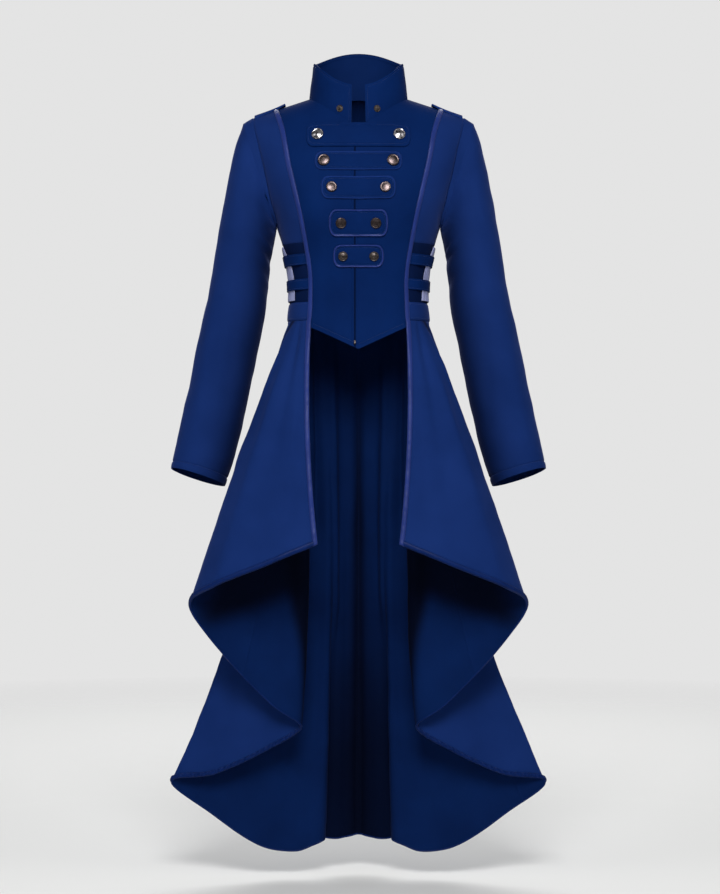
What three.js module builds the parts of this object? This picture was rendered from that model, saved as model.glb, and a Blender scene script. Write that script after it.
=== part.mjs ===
// A long high-low tailcoat of thin cloth, as it hangs filled out with no wearer in it.
// Millimetres, +Z up, the front faces -Y. The origin lies between the shoulders, level with the side of
// the neck. Left and right are the wearer's: the wearer's left is +X. Every piece of cloth is a wall
// between an outer face and the same face moved in, and sewn pieces stop a seam's gap short of each other.
import * as THREE from "three";

// Walls, gaps and trim
const CLOTH = 2; // wall of the coat's cloth
const SEAM = 0.3; // gap between two sewn pieces
const RIDGE_GAP = 0.25; // the front and the back each stop this far short of the shoulder seam
const LAID = 0.5; // gap under what is sewn flat on a panel
const COLLAR_WALL = 3;
const PIPING = { width: 8.6, gap: LAID, edge: 1.1, crown: 2.3 };
const BINDING = { width: 8.4, gap: 0.8, edge: 0.9, crown: 1.9 };
const TAB_WALL = 2.4;
const TAB_GAP = 0.7;
const SATIN_WALL = 1.2;
const STRAP_WALL = 1.8;
const EPAULETTE_WALL = 3;

// Body of the coat
const ROUNDNESS = 2.4; // exponent of each ring: 2 is an ellipse, more is squarer
const SPINE_Y = 6; // y of the shoulder seam and of each side
const NECK = { half: 83.5, side: 1, front: 80, back: 48, flare: 1.5 }; // half width, and reach each way
const SHOULDER = { slope: 0.325, tip: 179, frontFall: 85, backFall: 75 };
const CUP = { x: 70, z: -188, wide: 52, high: 60, out: 16 };
const CLOSURE_X = -6; // the lapped zip lies this far to the wearer's right
const YOKE_END_Z = -249; // where the side front ends and the strapped inset begins
const INSET_END_Z = -347;
const WAIST_Z = -377;
const POINT = { side: -388.5, middle: -427 }; // the front's pointed hem

// Rings of the body from the neck down: half width, and depth to the front and to the back
const RINGS = [
  { z: 40, half: 200, front: 80, back: 92 },
  { z: -30, half: 198, front: 84, back: 96 },
  { z: -90, half: 181, front: 98, back: 102 },
  { z: -160, half: 160.5, front: 108, back: 102 },
  { z: -217, half: 139, front: 108, back: 98 },
  { z: -255, half: 127.5, front: 103, back: 94 },
  { z: -290, half: 119.5, front: 98, back: 91 },
  { z: -332, half: 117, front: 93, back: 90 },
  { z: -377, half: 121, front: 93, back: 94 },
  { z: -440, half: 130, front: 99, back: 102 },
];
const ARMPIT_Z = -217;

// The piped seam between front and side front, from the shoulder to the waist
const PIPED_SEAM = [
  { z: -17, x: 141 },
  { z: -55, x: 128.5 },
  { z: -119, x: 116 },
  { z: -189, x: 99.5 },
  { z: -246, x: 88.5 },
  { z: -299, x: 80.5 },
  { z: -351, x: 80.5 },
  { z: -390, x: 82.6 },
];

// The armhole from the shoulder tip to the armpit
const ARMHOLE = [
  { z: -30, x: 179 },
  { z: -46, x: 177 },
  { z: -88, x: 167 },
  { z: -130, x: 158.5 },
  { z: -170, x: 150.3 },
  { z: -200, x: 142.4 },
  { z: -211, x: 139.6 },
  { z: -217, x: 139 },
];

// The side seam turns back from the armpit: degrees round the ring, 90 at the side and 180 at the back
const SIDE_SEAM = [
  { z: -217, turn: 90 },
  { z: -249, turn: 102 },
  { z: -300, turn: 111 },
  { z: -377, turn: 114 },
];

// Cross sections of a sleeve below the armhole: its outer and inner point, seen from the front, the
// middle and half of its depth, and how far its back lies below its front
const SLEEVE = [
  { outX: 196, outZ: -40, inX: 139.6, inZ: -221, midY: 6, depth: 44, tilt: 0 },
  { outX: 209, outZ: -78, inX: 141, inZ: -229, midY: 6, depth: 49, tilt: 0 },
  { outX: 222.5, outZ: -140, inX: 143.5, inZ: -242, midY: 6, depth: 52, tilt: 0 },
  { outX: 238, outZ: -222, inX: 149, inZ: -275, midY: 7, depth: 52, tilt: 1 },
  { outX: 254.5, outZ: -326, inX: 157, inZ: -352, midY: 7, depth: 50, tilt: 2 },
  { outX: 271.5, outZ: -402, inX: 170.5, inZ: -424, midY: 4, depth: 48, tilt: 5 },
  { outX: 287, outZ: -484, inX: 187, inZ: -506, midY: -4, depth: 46, tilt: 7 },
  { outX: 305.5, outZ: -570, inX: 206, inZ: -592, midY: -15, depth: 44, tilt: 7 },
  { outX: 317.5, outZ: -626, inX: 226, inZ: -655, midY: -24, depth: 42, tilt: 7 },
];

// Folds of the flared skirt from its front edge to the centre back. turn is the place on the waist,
// x, y and z the place on the hem, and bowX and bowY how far the line between them bows midway
const FOLDS = [
  { turn: 39.3, x: 71, y: -130, z: -752, bowX: 8, bowY: 0 },
  { turn: 50, x: 150, y: -137, z: -784, bowX: 4, bowY: -4 },
  { turn: 60, x: 236, y: -117, z: -820, bowX: 3, bowY: -4 },
  { turn: 70, x: 283, y: -62, z: -857, bowX: 4, bowY: 0 },
  { turn: 78, x: 229, y: -20, z: -941, bowX: -14, bowY: 4 },
  { turn: 85, x: 150, y: 12, z: -1028, bowX: -24, bowY: 4 },
  { turn: 92, x: 101, y: 42, z: -1072, bowX: -24, bowY: 2 },
  { turn: 100, x: 160, y: 57, z: -1114, bowX: -26, bowY: 0 },
  { turn: 108, x: 250, y: 70, z: -1156, bowX: -34, bowY: 0 },
  { turn: 117, x: 326, y: 90, z: -1171, bowX: -39, bowY: 0 },
  { turn: 126, x: 262, y: 114, z: -1227, bowX: -30, bowY: 0 },
  { turn: 135, x: 175, y: 126, z: -1287, bowX: -22, bowY: 0 },
  { turn: 144, x: 110, y: 136, z: -1300, bowX: -14, bowY: 0 },
  { turn: 154, x: 63, y: 152, z: -1282, bowX: -8, bowY: 0 },
  { turn: 166, x: 38, y: 175, z: -1286, bowX: -2, bowY: 0 },
  { turn: 180, x: 0, y: 188, z: -1282, bowX: 0, bowY: 0 },
];
// The skirt is cut in three on each side: from fold to fold, counted along FOLDS, with steps round
const SKIRT_PANELS = [
  { name: "front_skirt", from: 0, to: 4.4, steps: 12 },
  { name: "side_skirt", from: 4.4, to: 9.7, steps: 16 },
  { name: "back_skirt", from: 9.7, to: 15, steps: 13 },
];
const SKIRT_ROWS = 13;

// Tabs over the closure, from the neck down, each with a button near both ends
const TABS = [
  { z: -70.3, half: 87, height: 41.5, button: 67.5, buttonSize: 20 },
  { z: -115, half: 72, height: 32, button: 57, buttonSize: 20 },
  { z: -160.5, half: 61.5, height: 38.5, button: 45, buttonSize: 18 },
  { z: -219, half: 48.7, height: 44, button: 29.3, buttonSize: 18 },
  { z: -273, half: 41.5, height: 37, button: 25.5, buttonSize: 16 },
];
const TAB_ROUND = 14; // length of a tab's rounded end
const COLLAR_BUTTON = { turn: 22, rise: 0.24, size: 11.7 };

// Straps of the side inset: the height of each and its width
const STRAPS = [
  { z: -275.5, width: 18.5 },
  { z: -317, width: 18.5 },
];
const SATIN_FRONT = [
  { z: -249, turn: 77 },
  { z: -290, turn: 65 },
  { z: -347, turn: 61 },
];
const GATHERS = { count: 5, height: 0.9 };

const SIDES = [
  { name: "right", sign: -1 },
  { name: "left", sign: 1 },
];

const navy = { color: 0x10246f, roughness: 0.75, metalness: 0 };
const navySatin = { color: 0x2c3f9e, roughness: 0.35, metalness: 0 };
const lilacSatin = { color: 0x6d72c4, roughness: 0.3, metalness: 0 };
const nickel = { color: 0x9a938c, roughness: 0.3, metalness: 1 };

const coat = new THREE.Group();
coat.name = "tailcoat";

const lerp = THREE.MathUtils.lerp;
const radians = THREE.MathUtils.degToRad;

// Reads one column of a table at a height between its rows, on a smooth curve through them
function smoothColumn(table, key, value, column) {
  const falling = table[0][key] > table[table.length - 1][key];
  const past = (row) => (falling ? row[key] < value : row[key] > value);
  const found = table.findIndex(past);
  const last = table.length - 2;
  const i = found < 0 ? last : THREE.MathUtils.clamp(found - 1, 0, last);
  const step = (a, b) => (table[b][column] - table[a][column]) / (table[b][key] - table[a][key]);
  const middle = step(i, i + 1);
  const before = i > 0 ? step(i - 1, i) : middle;
  const after = i < last ? step(i + 1, i + 2) : middle;
  const run = table[i + 1][key] - table[i][key];
  const t = THREE.MathUtils.clamp((value - table[i][key]) / run, 0, 1);
  const enter = (run * (before + middle)) / 2;
  const leave = (run * (middle + after)) / 2;
  const a = table[i][column];
  const b = table[i + 1][column];
  return (
    a * (1 - t) ** 2 * (1 + 2 * t) + enter * t * (1 - t) ** 2 + b * t * t * (3 - 2 * t) - leave * t * t * (1 - t)
  );
}

// Adds a mesh of its own material to the coat
function addPiece(name, geometry, look) {
  const mesh = new THREE.Mesh(geometry, new THREE.MeshStandardMaterial({ ...look, side: THREE.DoubleSide }));
  mesh.name = name;
  coat.add(mesh);
  return mesh;
}

// A closed body from quads and triangles over a list of points, turned so that its faces point out
function closedBody(points, faces) {
  const triangles = [];
  for (const face of faces) {
    triangles.push([face[0], face[1], face[2]]);
    if (face.length === 4) triangles.push([face[0], face[2], face[3]]);
  }
  const cross = new THREE.Vector3();
  const volume = triangles.reduce(
    (sum, [a, b, c]) => sum + points[a].dot(cross.crossVectors(points[b], points[c])),
    0,
  );
  const turned = volume < 0 ? triangles.map(([a, b, c]) => [a, c, b]) : triangles;
  const geometry = new THREE.BufferGeometry().setFromPoints(points);
  geometry.setIndex(turned.flat());
  geometry.computeVertexNormals();
  return geometry;
}

// A wall between two grids of points, grid[i][j], that share their edges' outline
function wallBetween(outer, inner) {
  const rows = outer.length;
  const columns = outer[0].length;
  const points = [...outer.flat(), ...inner.flat()];
  const at = (i, j, side) => side * rows * columns + i * columns + j;
  const faces = [];
  for (let i = 0; i < rows - 1; i++) {
    for (let j = 0; j < columns - 1; j++) {
      faces.push([at(i, j, 0), at(i, j + 1, 0), at(i + 1, j + 1, 0), at(i + 1, j, 0)]);
      faces.push([at(i, j, 1), at(i + 1, j, 1), at(i + 1, j + 1, 1), at(i, j + 1, 1)]);
    }
  }
  for (let j = 0; j < columns - 1; j++) {
    faces.push([at(0, j, 0), at(0, j, 1), at(0, j + 1, 1), at(0, j + 1, 0)]);
    faces.push([at(rows - 1, j, 0), at(rows - 1, j + 1, 0), at(rows - 1, j + 1, 1), at(rows - 1, j, 1)]);
  }
  for (let i = 0; i < rows - 1; i++) {
    faces.push([at(i, 0, 0), at(i + 1, 0, 0), at(i + 1, 0, 1), at(i, 0, 1)]);
    const end = columns - 1;
    faces.push([at(i, end, 0), at(i, end, 1), at(i + 1, end, 1), at(i + 1, end, 0)]);
  }
  return closedBody(points, faces);
}

// A strip swept along stations { point, across, out }, with the same section at each of them
function sweptStrip(stations, section) {
  const points = [];
  for (const { point, across, out } of stations) {
    for (const [a, h] of section) {
      points.push(point.clone().addScaledVector(across, a).addScaledVector(out, h));
    }
  }
  const n = section.length;
  const faces = [];
  for (let i = 0; i < stations.length - 1; i++) {
    for (let j = 0; j < n; j++) {
      const next = (j + 1) % n;
      faces.push([i * n + j, i * n + next, (i + 1) * n + next, (i + 1) * n + j]);
    }
  }
  const end = (stations.length - 1) * n;
  for (let j = 1; j < n - 1; j++) {
    faces.push([0, j + 1, j]);
    faces.push([end, end + j, end + j + 1]);
  }
  return closedBody(points, faces);
}

const ringHalf = (z) => smoothColumn(RINGS, "z", z, "half");
// Height of the shoulder ridge at a distance from the middle; it levels off under the collar
function ridgeZ(x) {
  if (x > NECK.half) return NECK.side - SHOULDER.slope * (x - NECK.half);
  return NECK.side + (SHOULDER.slope * NECK.half * (1 - (x / NECK.half) ** NECK.flare)) / NECK.flare;
}
// Height at which the rolled shoulder has come forward, or back, by a given reach
function rolledZ(x, reach, way) {
  const ridge = ridgeZ(x);
  const fall = way === "front" ? SHOULDER.frontFall : SHOULDER.backFall;
  const round = (1 - Math.min(x / ringHalf(ridge), 1) ** ROUNDNESS) ** (1 / ROUNDNESS);
  const share = Math.min(reach / (smoothColumn(RINGS, "z", ridge, way) * round), 1);
  return ridge - fall * (1 - Math.sqrt(1 - share ** 2));
}
const neckZ = (x, way) => rolledZ(x, NECK[way] * Math.sqrt(Math.max(0, 1 - (x / NECK.half) ** 2)), way);
const pipedX = (z) => smoothColumn(PIPED_SEAM, "z", z, "x");
const armholeX = (z) => smoothColumn(ARMHOLE, "z", z, "x");
const sideSeamTurn = (z) => smoothColumn(SIDE_SEAM, "z", z, "turn");

// Place round a ring, in degrees, of a distance x from the middle, and the other way about
function turnAt(x, z, back = false) {
  const share = Math.min(x / ringHalf(z), 1);
  const turn = THREE.MathUtils.radToDeg(Math.asin(share ** (ROUNDNESS / 2)));
  return back ? 180 - turn : turn;
}
const xAt = (turn, z) => ringHalf(z) * Math.abs(Math.sin(radians(turn))) ** (2 / ROUNDNESS);

// A point of the coat's outer face on its right half, at a turn and a height; x stays positive here
function bodyPoint(turn, z) {
  const x = xAt(turn, z);
  const ahead = Math.cos(radians(turn));
  const front = ahead >= 0;
  const depth = smoothColumn(RINGS, "z", z, front ? "front" : "back");
  const fall = front ? SHOULDER.frontFall : SHOULDER.backFall;
  const below = THREE.MathUtils.clamp((ridgeZ(x) - z) / fall, 0, 1);
  const roll = Math.sqrt(1 - (1 - below) ** 2);
  let reach = depth * Math.abs(ahead) ** (2 / ROUNDNESS) * roll;
  if (front) reach += CUP.out * Math.exp(-(((x - CUP.x) / CUP.wide) ** 2) - ((z - CUP.z) / CUP.high) ** 2) * roll;
  if (front) reach *= Math.min(1, Math.abs(ahead) * 6);
  reach += RIDGE_GAP * (1 - roll) ** 2;
  return new THREE.Vector3(x, SPINE_Y + (front ? -reach : reach), z);
}

// Unit vectors there: round the coat, keeping to the slope of the shoulder, and out of its face.
// They come from the points one small step away on each side
const TURN_STEP = 0.5;
const DROP_STEP = 0.05;
const INSIDE_DROP = 60; // the middle of the body at this depth below a point lies inside its face
function bodyAxes(turn, z) {
  const drop = ridgeZ(xAt(turn, z)) - z;
  const aside = (step) => {
    const t = turn + step;
    let height = z;
    for (let pass = 0; pass < 3; pass++) height = ridgeZ(xAt(t, height)) - drop;
    return bodyPoint(t, height);
  };
  const nearFront = turn < 1;
  const nearBack = turn > 179;
  const round = aside(nearBack ? 0 : TURN_STEP).sub(aside(nearFront ? 0 : -TURN_STEP));
  const up = drop > DROP_STEP ? DROP_STEP : 0;
  const down = bodyPoint(turn, z - DROP_STEP).sub(bodyPoint(turn, z + up));
  const out = new THREE.Vector3().crossVectors(down, round).normalize();
  const middle = new THREE.Vector3(0, SPINE_Y, z - INSIDE_DROP);
  if (out.dot(bodyPoint(turn, z).sub(middle)) < 0) out.negate();
  if (nearFront || nearBack) out.setX(0).normalize();
  return { round: round.normalize(), out };
}
const bodyOut = (turn, z) => bodyAxes(turn, z).out;

const mirrored = (v, sign) => new THREE.Vector3(v.x * sign, v.y, v.z);

// A panel of the coat's body: its inner and outer edge as lists of { turn, z } of equal length, the
// columns as shares from edge to edge, and the heights of its top and bottom edge where they curve
function bodyPanel(sign, inner, outer, columns, topZ, bottomZ) {
  const rows = inner.length - 1;
  const outerGrid = [];
  const innerGrid = [];
  for (let k = 0; k <= rows; k++) {
    const share = (inner[0].z - inner[k].z) / (inner[0].z - inner[rows].z);
    const outerRow = [];
    const innerRow = [];
    for (const u of columns) {
      const turn = lerp(inner[k].turn, outer[k].turn, u);
      const level = (i) => lerp(inner[i].z, outer[i].z, u);
      let z = level(k);
      if (topZ) z += (1 - share) * (topZ(lerp(inner[0].turn, outer[0].turn, u), level(0)) - level(0));
      if (bottomZ) z += share * (bottomZ(lerp(inner[rows].turn, outer[rows].turn, u), level(rows)) - level(rows));
      const across = turn < 0 ? -sign : sign;
      const point = bodyPoint(Math.abs(turn), z);
      const moved = point.clone().addScaledVector(bodyOut(Math.abs(turn), z), -CLOTH);
      outerRow.push(mirrored(point, across));
      innerRow.push(mirrored(moved, across));
    }
    outerGrid.push(outerRow);
    innerGrid.push(innerRow);
  }
  return wallBetween(outerGrid, innerGrid);
}

// Settles a height that depends on x, where x depends on the height
function settled(turn, start, heightOfX) {
  let z = start;
  for (let pass = 0; pass < 6; pass++) z = heightOfX(xAt(Math.abs(turn), z));
  return z;
}

// Heights of the rows along the piped seam, the same for each piece that meets there
const ROLL_ROWS = 5;
const YOKE_ROWS = 11;
const INSET_ROWS = 4;
const seamTopZ = ridgeZ(pipedX(-17));
const rollEndZ = seamTopZ - SHOULDER.frontFall;
const seamRows = [];
for (let k = 0; k < ROLL_ROWS; k++) {
  seamRows.push(seamTopZ - SHOULDER.frontFall * (1 - Math.cos((k / ROLL_ROWS) * (Math.PI / 2))));
}
for (let k = ROLL_ROWS; k <= YOKE_ROWS; k++) {
  seamRows.push(lerp(rollEndZ, YOKE_END_Z, (k - ROLL_ROWS) / (YOKE_ROWS - ROLL_ROWS)));
}
for (let k = 1; k <= INSET_ROWS; k++) seamRows.push(lerp(YOKE_END_Z, INSET_END_Z, k / INSET_ROWS));
const sideRows = [...seamRows.slice(YOKE_ROWS), WAIST_Z]; // down the side seam, from the yoke's end
seamRows.push(WAIST_Z, POINT.side);

// Neckline columns: every 15 degrees round the collar, then along the shoulder
const NECK_TURNS = [15, 30, 45, 60, 75, 90];
const neckXs = NECK_TURNS.map((turn) => NECK.half * Math.sin(radians(turn)));
const COLLAR_GAP_X = 12; // half the gap between the collar's front ends
const topHeight = (x) => (x < NECK.half ? neckZ(x, "front") : ridgeZ(x));
const topHeightBack = (x) => (x < NECK.half ? neckZ(x, "back") : ridgeZ(x));
const outerX = (z) => pipedX(z) - SEAM / 2;
const pointedHem = (x) => lerp(POINT.middle, POINT.side, Math.min(x / outerX(POINT.side), 1));

// Half of the front, from the lapped closure to the piped seam, with a pointed hem
function frontPanel(side) {
  const edgeX = side.sign * CLOSURE_X + SEAM / 2; // signed: past the middle on the wearer's left
  const startTop = topHeight(Math.abs(edgeX));
  const outer = seamRows.map((z) => ({ turn: turnAt(pipedX(z) - SEAM / 2, z), z }));
  const inner = seamRows.map((z) => {
    const share = (seamRows[0] - z) / (seamRows[0] - POINT.side);
    const height = lerp(startTop, POINT.middle, share);
    return { turn: Math.sign(edgeX) * turnAt(Math.abs(edgeX), height), z: height };
  });
  const topXs = [edgeX, COLLAR_GAP_X, ...neckXs, lerp(NECK.half, outerX(seamTopZ), 0.5), outerX(seamTopZ)];
  const turnOfTop = (x) => Math.sign(x) * turnAt(Math.abs(x), topHeight(Math.abs(x)));
  const columns = topXs.map((x) => (turnOfTop(x) - inner[0].turn) / (outer[0].turn - inner[0].turn));
  columns[0] = 0;
  columns[columns.length - 1] = 1;
  const topZ = (turn, start) => settled(turn, start, topHeight);
  const hemZ = (turn, start) => settled(turn, start, pointedHem);
  addPiece("front_" + side.name, bodyPanel(side.sign, inner, outer, columns, topZ, hemZ), navy);
}

// Rows of the armhole's edge, closer together at its top and bottom
const ARMHOLE_ROWS = YOKE_ROWS - 1;
const armholeRow = (k) => lerp(ridgeZ(SHOULDER.tip), ARMPIT_Z, (1 - Math.cos((Math.PI * k) / ARMHOLE_ROWS)) / 2);

const HALF_SEAM_TURN = 0.09; // degrees that half a seam's gap takes at the side
// The side front: from the shoulder to the strapped inset, between the piped seam and the armhole
function sideFront(side) {
  const inner = seamRows.slice(0, YOKE_ROWS + 1).map((z) => ({ turn: turnAt(pipedX(z) + SEAM / 2, z), z }));
  inner[YOKE_ROWS].z += SEAM / 2;
  const outer = [];
  for (let k = 0; k <= ARMHOLE_ROWS; k++) {
    const z = armholeRow(k);
    outer.push({ turn: turnAt(armholeX(z), z), z });
  }
  const endZ = YOKE_END_Z + SEAM / 2;
  outer.push({ turn: sideSeamTurn(endZ) - HALF_SEAM_TURN, z: endZ });
  const columns = [0, 0.16, 0.33, 0.5, 0.67, 0.84, 1];
  const topZ = (turn, start) => settled(turn, start, ridgeZ);
  const geometry = bodyPanel(side.sign, inner, outer, columns, topZ);
  addPiece("side_front_" + side.name, geometry, navy);
}

// A level stretch of the side below the yoke, from the piped seam to the side seam
const INSET_COLUMNS = [0, 0.14, 0.28, 0.42, 0.56, 0.7, 0.85, 1];
function sideStretch(name, side, heights, look) {
  const levels = [...heights];
  levels[0] -= SEAM / 2;
  levels[levels.length - 1] += SEAM / 2;
  const inner = levels.map((z) => ({ turn: turnAt(pipedX(z) + SEAM / 2, z), z }));
  const outer = levels.map((z) => ({ turn: sideSeamTurn(z) - HALF_SEAM_TURN, z }));
  addPiece(name + side.name, bodyPanel(side.sign, inner, outer, INSET_COLUMNS), look);
}

// Half of the back, from the centre seam to the armhole and the side seam
function backPanel(side) {
  const outer = [];
  for (let k = 0; k <= ARMHOLE_ROWS; k++) {
    const z = armholeRow(k);
    outer.push({ turn: turnAt(armholeX(z), z, true), z });
  }
  outer[ARMHOLE_ROWS].turn += HALF_SEAM_TURN;
  for (const z of sideRows) outer.push({ turn: sideSeamTurn(z) + HALF_SEAM_TURN, z });
  const inner = outer.map((edge) => {
    const share = (outer[0].z - edge.z) / (outer[0].z - WAIST_Z);
    const z = lerp(topHeightBack(0), WAIST_Z, share);
    return { turn: 180 - turnAt(SEAM / 2, z), z };
  });
  const tipX = SHOULDER.tip;
  const topXs = [0, ...neckXs, lerp(NECK.half, tipX, 0.27), lerp(NECK.half, tipX, 0.6), tipX];
  const first = inner[0].turn;
  const span = outer[0].turn - first;
  const columns = topXs.map((x) => (turnAt(x, topHeightBack(x), true) - first) / span);
  columns[0] = 0;
  columns[columns.length - 1] = 1;
  const topZ = (turn, start) => settled(turn, start, topHeightBack);
  addPiece("back_" + side.name, bodyPanel(side.sign, inner, outer, columns, topZ), navy);
}

// Standing collar, open at the front, highest at the back
const COLLAR_TOP = { half: 76, frontY: -70, backY: 51, front: 15, side: 61, back: 87 };
const COLLAR_ROWS = 4;
function collarPoint(turn, rise) {
  const s = Math.sin(radians(turn));
  const c = Math.cos(radians(turn));
  const x = NECK.half * Math.abs(s);
  const z = neckZ(x, c > 0 ? "front" : "back");
  const base = bodyPoint(turnAt(x, z, c < 0), z);
  base.z += LAID;
  const far = c > 0 ? COLLAR_TOP.front : COLLAR_TOP.back;
  const y = c > 0 ? COLLAR_TOP.frontY : COLLAR_TOP.backY;
  const top = new THREE.Vector3(COLLAR_TOP.half * Math.abs(s), y * Math.abs(c), lerp(COLLAR_TOP.side, far, c * c));
  const point = base.lerp(top, rise);
  return new THREE.Vector3(Math.sign(s) * point.x, point.y, point.z);
}
function collarOut(turn) {
  const y = Math.cos(radians(turn)) > 0 ? -COLLAR_TOP.frontY : COLLAR_TOP.backY;
  const out = new THREE.Vector3(Math.sin(radians(turn)) * y, -Math.cos(radians(turn)) * COLLAR_TOP.half, 0);
  return out.normalize();
}
function collar() {
  const firstTurn = THREE.MathUtils.radToDeg(Math.asin(COLLAR_GAP_X / NECK.half));
  const turns = [firstTurn];
  for (let turn = 15; turn < 360; turn += 15) turns.push(turn);
  turns.push(360 - firstTurn);
  const outer = turns.map((turn) => {
    const line = [];
    for (let k = 0; k <= COLLAR_ROWS; k++) line.push(collarPoint(turn, k / COLLAR_ROWS));
    return line;
  });
  const inner = outer.map((line, i) =>
    line.map((point) => point.clone().addScaledVector(collarOut(turns[i]), -COLLAR_WALL)),
  );
  addPiece("collar", wallBetween(outer, inner), navy);
}

// A sleeve: a tube from the armhole, through its sections, to the open cuff, cut in two along its
// length. Its sides are counted from the outermost one round by the front. The top sleeve runs from
// the hind seam round by the front to the seam under the arm, and the under sleeve from there back
const SLEEVE_SIDES = 20;
const SLEEVE_STEPS = 13;
const SLEEVE_PIECES = [
  { name: "top_sleeve", from: -2, to: 10, moved: -SEAM / 2 },
  { name: "under_sleeve", from: 10, to: 18, moved: SEAM / 2 },
];
const SLEEVE_KEYS = SLEEVE.map((row, i) => ({ ...row, share: i / (SLEEVE.length - 1) }));
function sleeveRing(share) {
  const at = (column) => smoothColumn(SLEEVE_KEYS, "share", share, column);
  const points = [];
  for (let j = 0; j < SLEEVE_SIDES; j++) {
    const round = (2 * Math.PI * j) / SLEEVE_SIDES;
    const c = Math.cos(round);
    const s = Math.sin(round);
    const x = (at("outX") + at("inX")) / 2 + (c * (at("outX") - at("inX"))) / 2;
    const z = (at("outZ") + at("inZ")) / 2 + (c * (at("outZ") - at("inZ"))) / 2;
    points.push(new THREE.Vector3(x, at("midY") - s * at("depth"), z + s * at("tilt")));
  }
  return points;
}
function armholeRing(outwards) {
  const topZ = ridgeZ(SHOULDER.tip);
  const ring = [];
  for (let j = 0; j < SLEEVE_SIDES; j++) {
    const round = (2 * Math.PI * j) / SLEEVE_SIDES;
    const z = (topZ + ARMPIT_Z) / 2 + (Math.cos(round) * (topZ - ARMPIT_Z)) / 2;
    const back = Math.sin(round) < -1e-6;
    const turn = turnAt(armholeX(z), z, back);
    const point = bodyPoint(turn, z);
    const out = bodyOut(turn, z);
    point.x += outwards;
    ring.push({ point, out });
  }
  return ring;
}
function sleeve(side) {
  const first = armholeRing(LAID);
  const rings = [first.map((r) => r.point)];
  for (let i = 0; i < SLEEVE_STEPS; i++) rings.push(sleeveRing(i / (SLEEVE_STEPS - 1)));
  const inners = rings.map((ring, i) => {
    const centre = ring.reduce((sum, p) => sum.add(p), new THREE.Vector3()).divideScalar(SLEEVE_SIDES);
    const below = rings[Math.min(i + 1, rings.length - 1)];
    const above = rings[Math.max(i - 1, 0)];
    return ring.map((point, j) => {
      if (i === 0) return point.clone().addScaledVector(first[j].out, -CLOTH);
      const round = ring[(j + 1) % SLEEVE_SIDES].clone().sub(ring[(j + SLEEVE_SIDES - 1) % SLEEVE_SIDES]);
      const along = below[j].clone().sub(above[j]);
      const out = round.cross(along).normalize();
      if (out.dot(point.clone().sub(centre)) < 0) out.negate();
      return point.clone().addScaledVector(out, -CLOTH);
    });
  });
  for (const { name, from, to, moved } of SLEEVE_PIECES) {
    const cut = (ring) => {
      const row = [];
      for (let j = from; j <= to; j++) {
        const point = mirrored(ring[(j + SLEEVE_SIDES) % SLEEVE_SIDES], side.sign);
        if (j === from || j === to) point.y += moved;
        row.push(point);
      }
      return row;
    };
    addPiece(name + "_" + side.name, wallBetween(rings.map(cut), inners.map(cut)), navy);
  }
}

// The flared skirt's outer face: fold counts along FOLDS, fall is 0 at the waist and 1 at the hem
const SKIRT_TOP_Z = WAIST_Z - LAID;
const foldCurves = {};
for (const column of ["turn", "x", "y", "z", "bowX", "bowY"]) {
  const rows = FOLDS.map((row, i) => ({ fold: i, value: row[column] }));
  foldCurves[column] = (fold) => smoothColumn(rows, "fold", fold, "value");
}
function skirtPoint(fold, fall) {
  const top = bodyPoint(Math.min(foldCurves.turn(fold), 180), SKIRT_TOP_Z);
  const bow = 4 * fall * (1 - fall);
  const x = lerp(top.x, foldCurves.x(fold), fall) + bow * foldCurves.bowX(fold);
  const y = lerp(top.y, foldCurves.y(fold), fall) + bow * foldCurves.bowY(fold);
  return new THREE.Vector3(Math.max(x, 0), y, lerp(SKIRT_TOP_Z, foldCurves.z(fold), fall));
}
function skirtAxes(fold, fall) {
  const step = 0.01;
  const last = FOLDS.length - 1;
  const low = Math.max(fold - step, 0);
  const high = Math.min(fold + step, last);
  const along = skirtPoint(high, fall).sub(skirtPoint(low, fall)).normalize();
  const down = skirtPoint(fold, Math.min(fall + step, 1)).sub(skirtPoint(fold, Math.max(fall - step, 0)));
  down.normalize();
  const out = new THREE.Vector3().crossVectors(down, along).normalize();
  if (fold > last - step) out.setX(0).normalize();
  return { along, down, out };
}
// Places along the folds where a panel has its columns, evenly over its part of the hem. Half a
// seam's gap is a small part of a fold, and twice that at the centre back, where a fold is narrow
const SEAM_FOLDS = 0.004;
function skirtColumns(panel) {
  const folds = [];
  const lastFold = FOLDS.length - 1;
  for (let i = 0; i <= panel.steps; i++) folds.push(lerp(panel.from, panel.to, i / panel.steps));
  if (panel.from > 0) folds[0] += SEAM_FOLDS;
  folds[panel.steps] -= panel.to === lastFold ? 2 * SEAM_FOLDS : SEAM_FOLDS;
  return folds;
}
function skirtPanel(panel, side) {
  const folds = skirtColumns(panel);
  const outer = folds.map((fold) => {
    const line = [];
    for (let k = 0; k <= SKIRT_ROWS; k++) line.push(skirtPoint(fold, k / SKIRT_ROWS));
    return line;
  });
  const inner = outer.map((line, i) =>
    line.map((point, k) => {
      const { out } = skirtAxes(folds[i], k / SKIRT_ROWS);
      return point.clone().addScaledVector(out, -CLOTH);
    }),
  );
  const flip = (grid) => grid.map((line) => line.map((p) => mirrored(p, side.sign)));
  addPiece(panel.name + "_" + side.name, wallBetween(flip(outer), flip(inner)), navy);
}

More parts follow.
